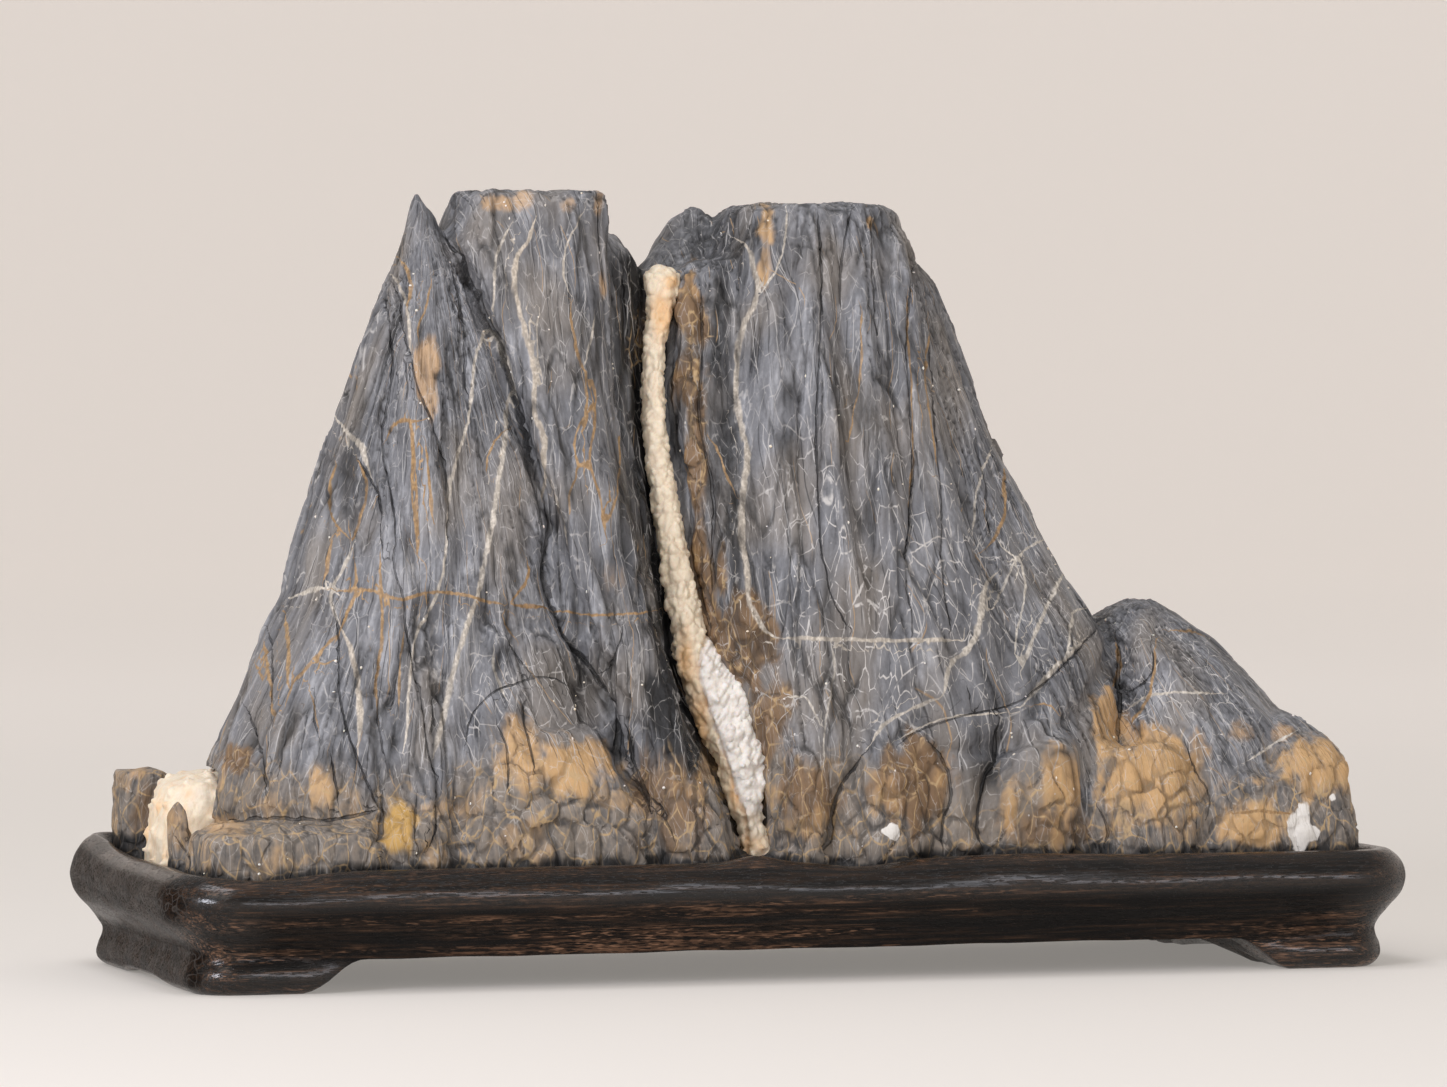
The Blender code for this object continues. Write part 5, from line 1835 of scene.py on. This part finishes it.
@dataclass
class CarvedStand:
    """The moulded hardwood tray on four low feet that the stone sits in."""

    length: float = 350.0
    depth: float = 140.0
    corner: float = 20.0
    seat: float = 22.0
    wall_inset: float = 10.6
    arch_half: float = 139.0
    arch_run: float = 17.0
    arch_height: float = 9.0
    end_arch_half: float = 30.0
    end_arch_run: float = 18.0
    end_arch_height: float = 2.0
    turn_height: float = 14.6
    edge_ease: float = 0.5
    profile: tuple = STAND_PROFILE
    swells: tuple = RIM_SWELLS
    rim_foot: float = 21.0
    rim_top: float = 32.0
    spacing: float = 2.1
    profile_steps: int = 74
    hand_wave: float = 0.32

    def plan(self, inset: float) -> np.ndarray:
        """Walk round the stand's plan at an inset, always in the same number of steps.

        Args:
            inset: How far inside the plan's edge.

        Returns:
            The (x, y) points, anticlockwise from the right end.
        """
        radius = max(self.corner - inset, 0.6)
        half_x, half_y = self.length / 2 - inset, self.depth / 2 - inset
        corner_steps = 16
        walk = []
        for quarter, (side_x, side_y) in enumerate(((1, 1), (-1, 1), (-1, -1), (1, -1))):
            turn = np.radians(90.0 * quarter + np.linspace(0.0, 90.0, corner_steps + 1))
            middle = np.array([side_x * (half_x - radius), side_y * (half_y - radius)])
            arc = middle + radius * np.column_stack([np.cos(turn), np.sin(turn)])
            along = self.length if quarter % 2 == 0 else self.depth
            steps = int((along - 2 * self.corner) / self.spacing)
            nexts = ((-1, 1), (-1, -1), (1, -1), (1, 1))[quarter]
            after = np.array([nexts[0] * (half_x - radius), nexts[1] * (half_y - radius)])
            after = after + radius * np.array([np.cos(turn[-1]), np.sin(turn[-1])])
            share = np.linspace(0.0, 1.0, steps + 1)[1:-1, None]
            walk += [arc, arc[-1] + share * (after - arc[-1])]
        return np.concatenate(walk)

    def arch(self, plan: np.ndarray) -> np.ndarray:
        """Raise the underside between the feet.

        Args:
            plan: N points of the plan.

        Returns:
            How high the underside is at each of them.
        """
        long_way = self.arch_height * ramp(np.abs(plan[:, 0]), self.arch_half,
                                           self.arch_half - self.arch_run)
        end_way = self.end_arch_height * ramp(np.abs(plan[:, 1]), self.end_arch_half,
                                              self.end_arch_half - self.end_arch_run)
        return np.maximum(long_way, end_way)

    def rim(self, plan: np.ndarray) -> np.ndarray:
        """Make the rim swell and dip.

        Args:
            plan: N points of the plan.

        Returns:
            How far the rim rises at each of them.
        """
        lift = np.zeros(len(plan))
        for place, spread, height in self.swells:
            lift += height * np.exp(-((plan - place) ** 2).sum(axis=1) / spread ** 2)
        return lift

    def rings(self) -> list[np.ndarray]:
        """Lay out the stand's rings.

        Returns:
            The rings, from the middle of its underside round to its seat.
        """
        table = [(0.0, *self.profile[0])]
        for (low, before), (high, after) in zip(self.profile, self.profile[1:]):
            table.append((table[-1][0] + math.hypot(high - low, after - before), high, after))
        stops = np.linspace(0.0, table[-1][0], self.profile_steps)
        curve = spline(table, stops)
        rings = []
        for inset in (62.0, 48.0, 34.0, 24.0, 17.0, 12.5, 10.6):
            plan = self.plan(inset)
            rings.append(np.column_stack([plan, self.arch(plan)]))
        outer = curve[:int(np.argmax(curve[:, 0]))]
        edge = self.plan(8.0)
        arch = self.arch(edge)
        plain = ramp(np.abs(edge[:, 0]), self.arch_half + 8.0, self.arch_half - 24.0)
        apron = np.interp(self.turn_height, *outer.T)
        for height, inset in curve:
            if height < self.turn_height and len(rings) < self.profile_steps // 2 + 7:
                level = arch + (self.turn_height - arch) * height / self.turn_height
                insets = np.interp(level, *outer.T)
                insets += plain * (apron + 0.12 * (self.turn_height - level) - insets)
                insets = insets + self.edge_ease * np.exp(-(level - arch) / self.edge_ease)
                steps = np.unique(np.round(insets, 3))
                plans = {step: self.plan(step) for step in steps}
                plan = np.array([plans[step][i] for i, step in enumerate(np.round(insets, 3))])
                rings.append(np.column_stack([plan, level]))
            else:
                plan = self.plan(inset)
                share = max(0.0, (height - self.rim_foot) / (self.rim_top - self.rim_foot))
                rings.append(np.column_stack([plan, height + share * self.rim(plan)]))
        plan = self.plan(self.wall_inset)
        rings.append(np.column_stack([plan, np.full(len(plan), self.seat)]))
        return rings

    def build(self) -> bpy.types.Object:
        """Carve the stand.

        Returns:
            The finished piece.
        """
        piece = new_piece("carved_stand", *lofted(self.rings()))
        place, facing = coordinates(piece.data), normals(piece.data)
        wave = self.hand_wave * Grit.rough(place / (26.0, 26.0, 7.0), 2, 51)
        wave *= ramp(place[:, 2], 0.5, 3.0) * ramp(np.abs(facing[:, 2]), 1.0, 0.9)
        set_coordinates(piece.data, place + facing * wave[:, None])
        end = ramp(np.abs(facing[:, 0]), 0.55, 0.9)
        rim = ramp(place[:, 2], self.rim_foot - 1.0, self.rim_foot + 4.0)
        turned = ramp(np.abs(place[:, 0]), 144.0, 160.0) * 0.6
        foot = ramp(place[:, 2], self.arch_height, self.arch_height - 3.0)
        store(piece.data, "wood", (end, rim, np.maximum(np.maximum(rim, foot), turned)))
        return piece


@dataclass
class SoftBox:
    """A large soft light, aimed at the rock from some way round and up."""

    name: str
    azimuth: float
    elevation: float
    distance: float
    width: float
    height: float
    watts: float
    tint: str

    def build(self, aim: Vector) -> None:
        """Hang the light where the camera doesn't see it.

        Args:
            aim: What it points at, in metres.
        """
        turn, tilt = math.radians(self.azimuth), math.radians(self.elevation)
        out = Vector((math.sin(turn) * math.cos(tilt), -math.cos(turn) * math.cos(tilt),
                      math.sin(tilt)))
        lamp = bpy.data.lights.new(self.name, "AREA")
        lamp.shape = "RECTANGLE"
        lamp.size, lamp.size_y = self.width * MM, self.height * MM
        lamp.energy = self.watts
        lamp.color = linear(self.tint)[:3]
        hung = bpy.data.objects.new(self.name, lamp)
        hung.location = aim + out * self.distance * MM
        hung.rotation_mode = "QUATERNION"
        hung.rotation_quaternion = out.to_track_quat("Z", "Y")
        hung.visible_camera = False
        bpy.context.scene.collection.objects.link(hung)


@dataclass
class Studio:
    """A round bowl of background paper, its lights and its camera."""

    flat: float = 3700.0
    bend: float = 1500.0
    height: float = 3200.0
    sides: int = 96
    sky: str = "#f4f1ee"
    sky_strength: float = 0.43
    lights: tuple = (
        SoftBox("key", -52.0, 16.0, 1500.0, 420.0, 420.0, 10.5, "#f0f3ff"),
        SoftBox("front", -40.0, 50.0, 2200.0, 1100.0, 900.0, 4.5, "#fffaf4"),
        SoftBox("top", -60.0, 72.0, 1700.0, 1000.0, 600.0, 8.0, "#f8f8ff"),
        SoftBox("band", 18.0, 13.0, 2100.0, 1300.0, 380.0, 5.5, "#f0f3ff"),
    )

    def backdrop(self) -> None:
        """Turn the bowl: a flat floor that bends up into a wall."""
        outline = [(radius, 0.0) for radius in (400.0, 1000.0, 1700.0, 2500.0, self.flat)]
        for turn in np.radians(np.arange(10.0, 91.0, 10.0)):
            outline.append((self.flat + self.bend * math.sin(turn),
                            self.bend * (1.0 - math.cos(turn))))
        outline.append((self.flat + self.bend, self.height))
        points: list = [(0.0, 0.0, 0.0)]
        for radius, height in outline:
            for i in range(self.sides):
                turn = 2 * math.pi * i / self.sides
                points.append((radius * math.cos(turn), radius * math.sin(turn), height))
        faces = []
        for i in range(self.sides):
            j = (i + 1) % self.sides
            faces.append((0, 1 + i, 1 + j))
            for level in range(len(outline) - 1):
                low = 1 + level * self.sides
                high = low + self.sides
                faces.append((low + i, high + i, high + j, low + j))
        paper = new_piece("background_paper", points, faces)
        shade_smooth(paper, PaperFinish().make())

    def camera(self) -> None:
        """Stand the camera where the front view is seen from."""
        lens = bpy.data.cameras.new("front_view")
        lens.lens, lens.sensor_width = VIEW.lens, VIEW.sensor
        lens.clip_end = 100.0
        camera = bpy.data.objects.new("front_view", lens)
        camera.location = Vector(VIEW.place()) * MM
        camera.rotation_mode = "QUATERNION"
        camera.rotation_quaternion = Vector(VIEW.axes()[2]).to_track_quat("Z", "Y")
        bpy.context.scene.collection.objects.link(camera)
        bpy.context.scene.camera = camera

    def build(self) -> None:
        """Set up the paper, the lights, the sky and the camera."""
        self.backdrop()
        for light in self.lights:
            light.build(Vector((0.0, 0.0, 100.0)) * MM)
        world = bpy.data.worlds.new("soft_sky")
        world.use_nodes = True
        sky = next(node for node in world.node_tree.nodes if node.type == "BACKGROUND")
        sky.inputs["Color"].default_value = linear(self.sky)
        sky.inputs["Strength"].default_value = self.sky_strength
        bpy.context.scene.world = world
        bpy.context.scene.view_settings.view_transform = "Standard"
        self.camera()


def main() -> None:
    """Build and dress every piece in order, then the studio, and note the sizes."""
    logging.basicConfig(level=logging.INFO, format="%(message)s")
    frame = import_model()
    nodes = frame["nodes"]
    slate, calcite = SlateFinish().make(), CalciteFinish().make()
    wenge = HardwoodFinish().make()

    stand = CarvedStand().build()
    shade_smooth(stand, wenge)
    place_piece(stand, "stand_wood", "stand")

    stone = StoneSkin(nodes["stone"]).build()
    specks = CalciteSpecks().build(stone, calcite)
    shade_smooth(stone, slate)
    place_piece(stone, "stone", "stone")
    shade_smooth(specks, calcite)
    place_piece(specks, "calcite")

    rope = CalciteRope().build(calcite)
    shade_smooth(rope, calcite)
    place_piece(rope, "calcite", "waterfall_vein")
    pocket = CalcitePocket().build(calcite)
    shade_smooth(pocket, calcite)
    place_piece(pocket, "calcite", "left_calcite_pocket")

    Studio().build()


if __name__ == "__main__":
    main()
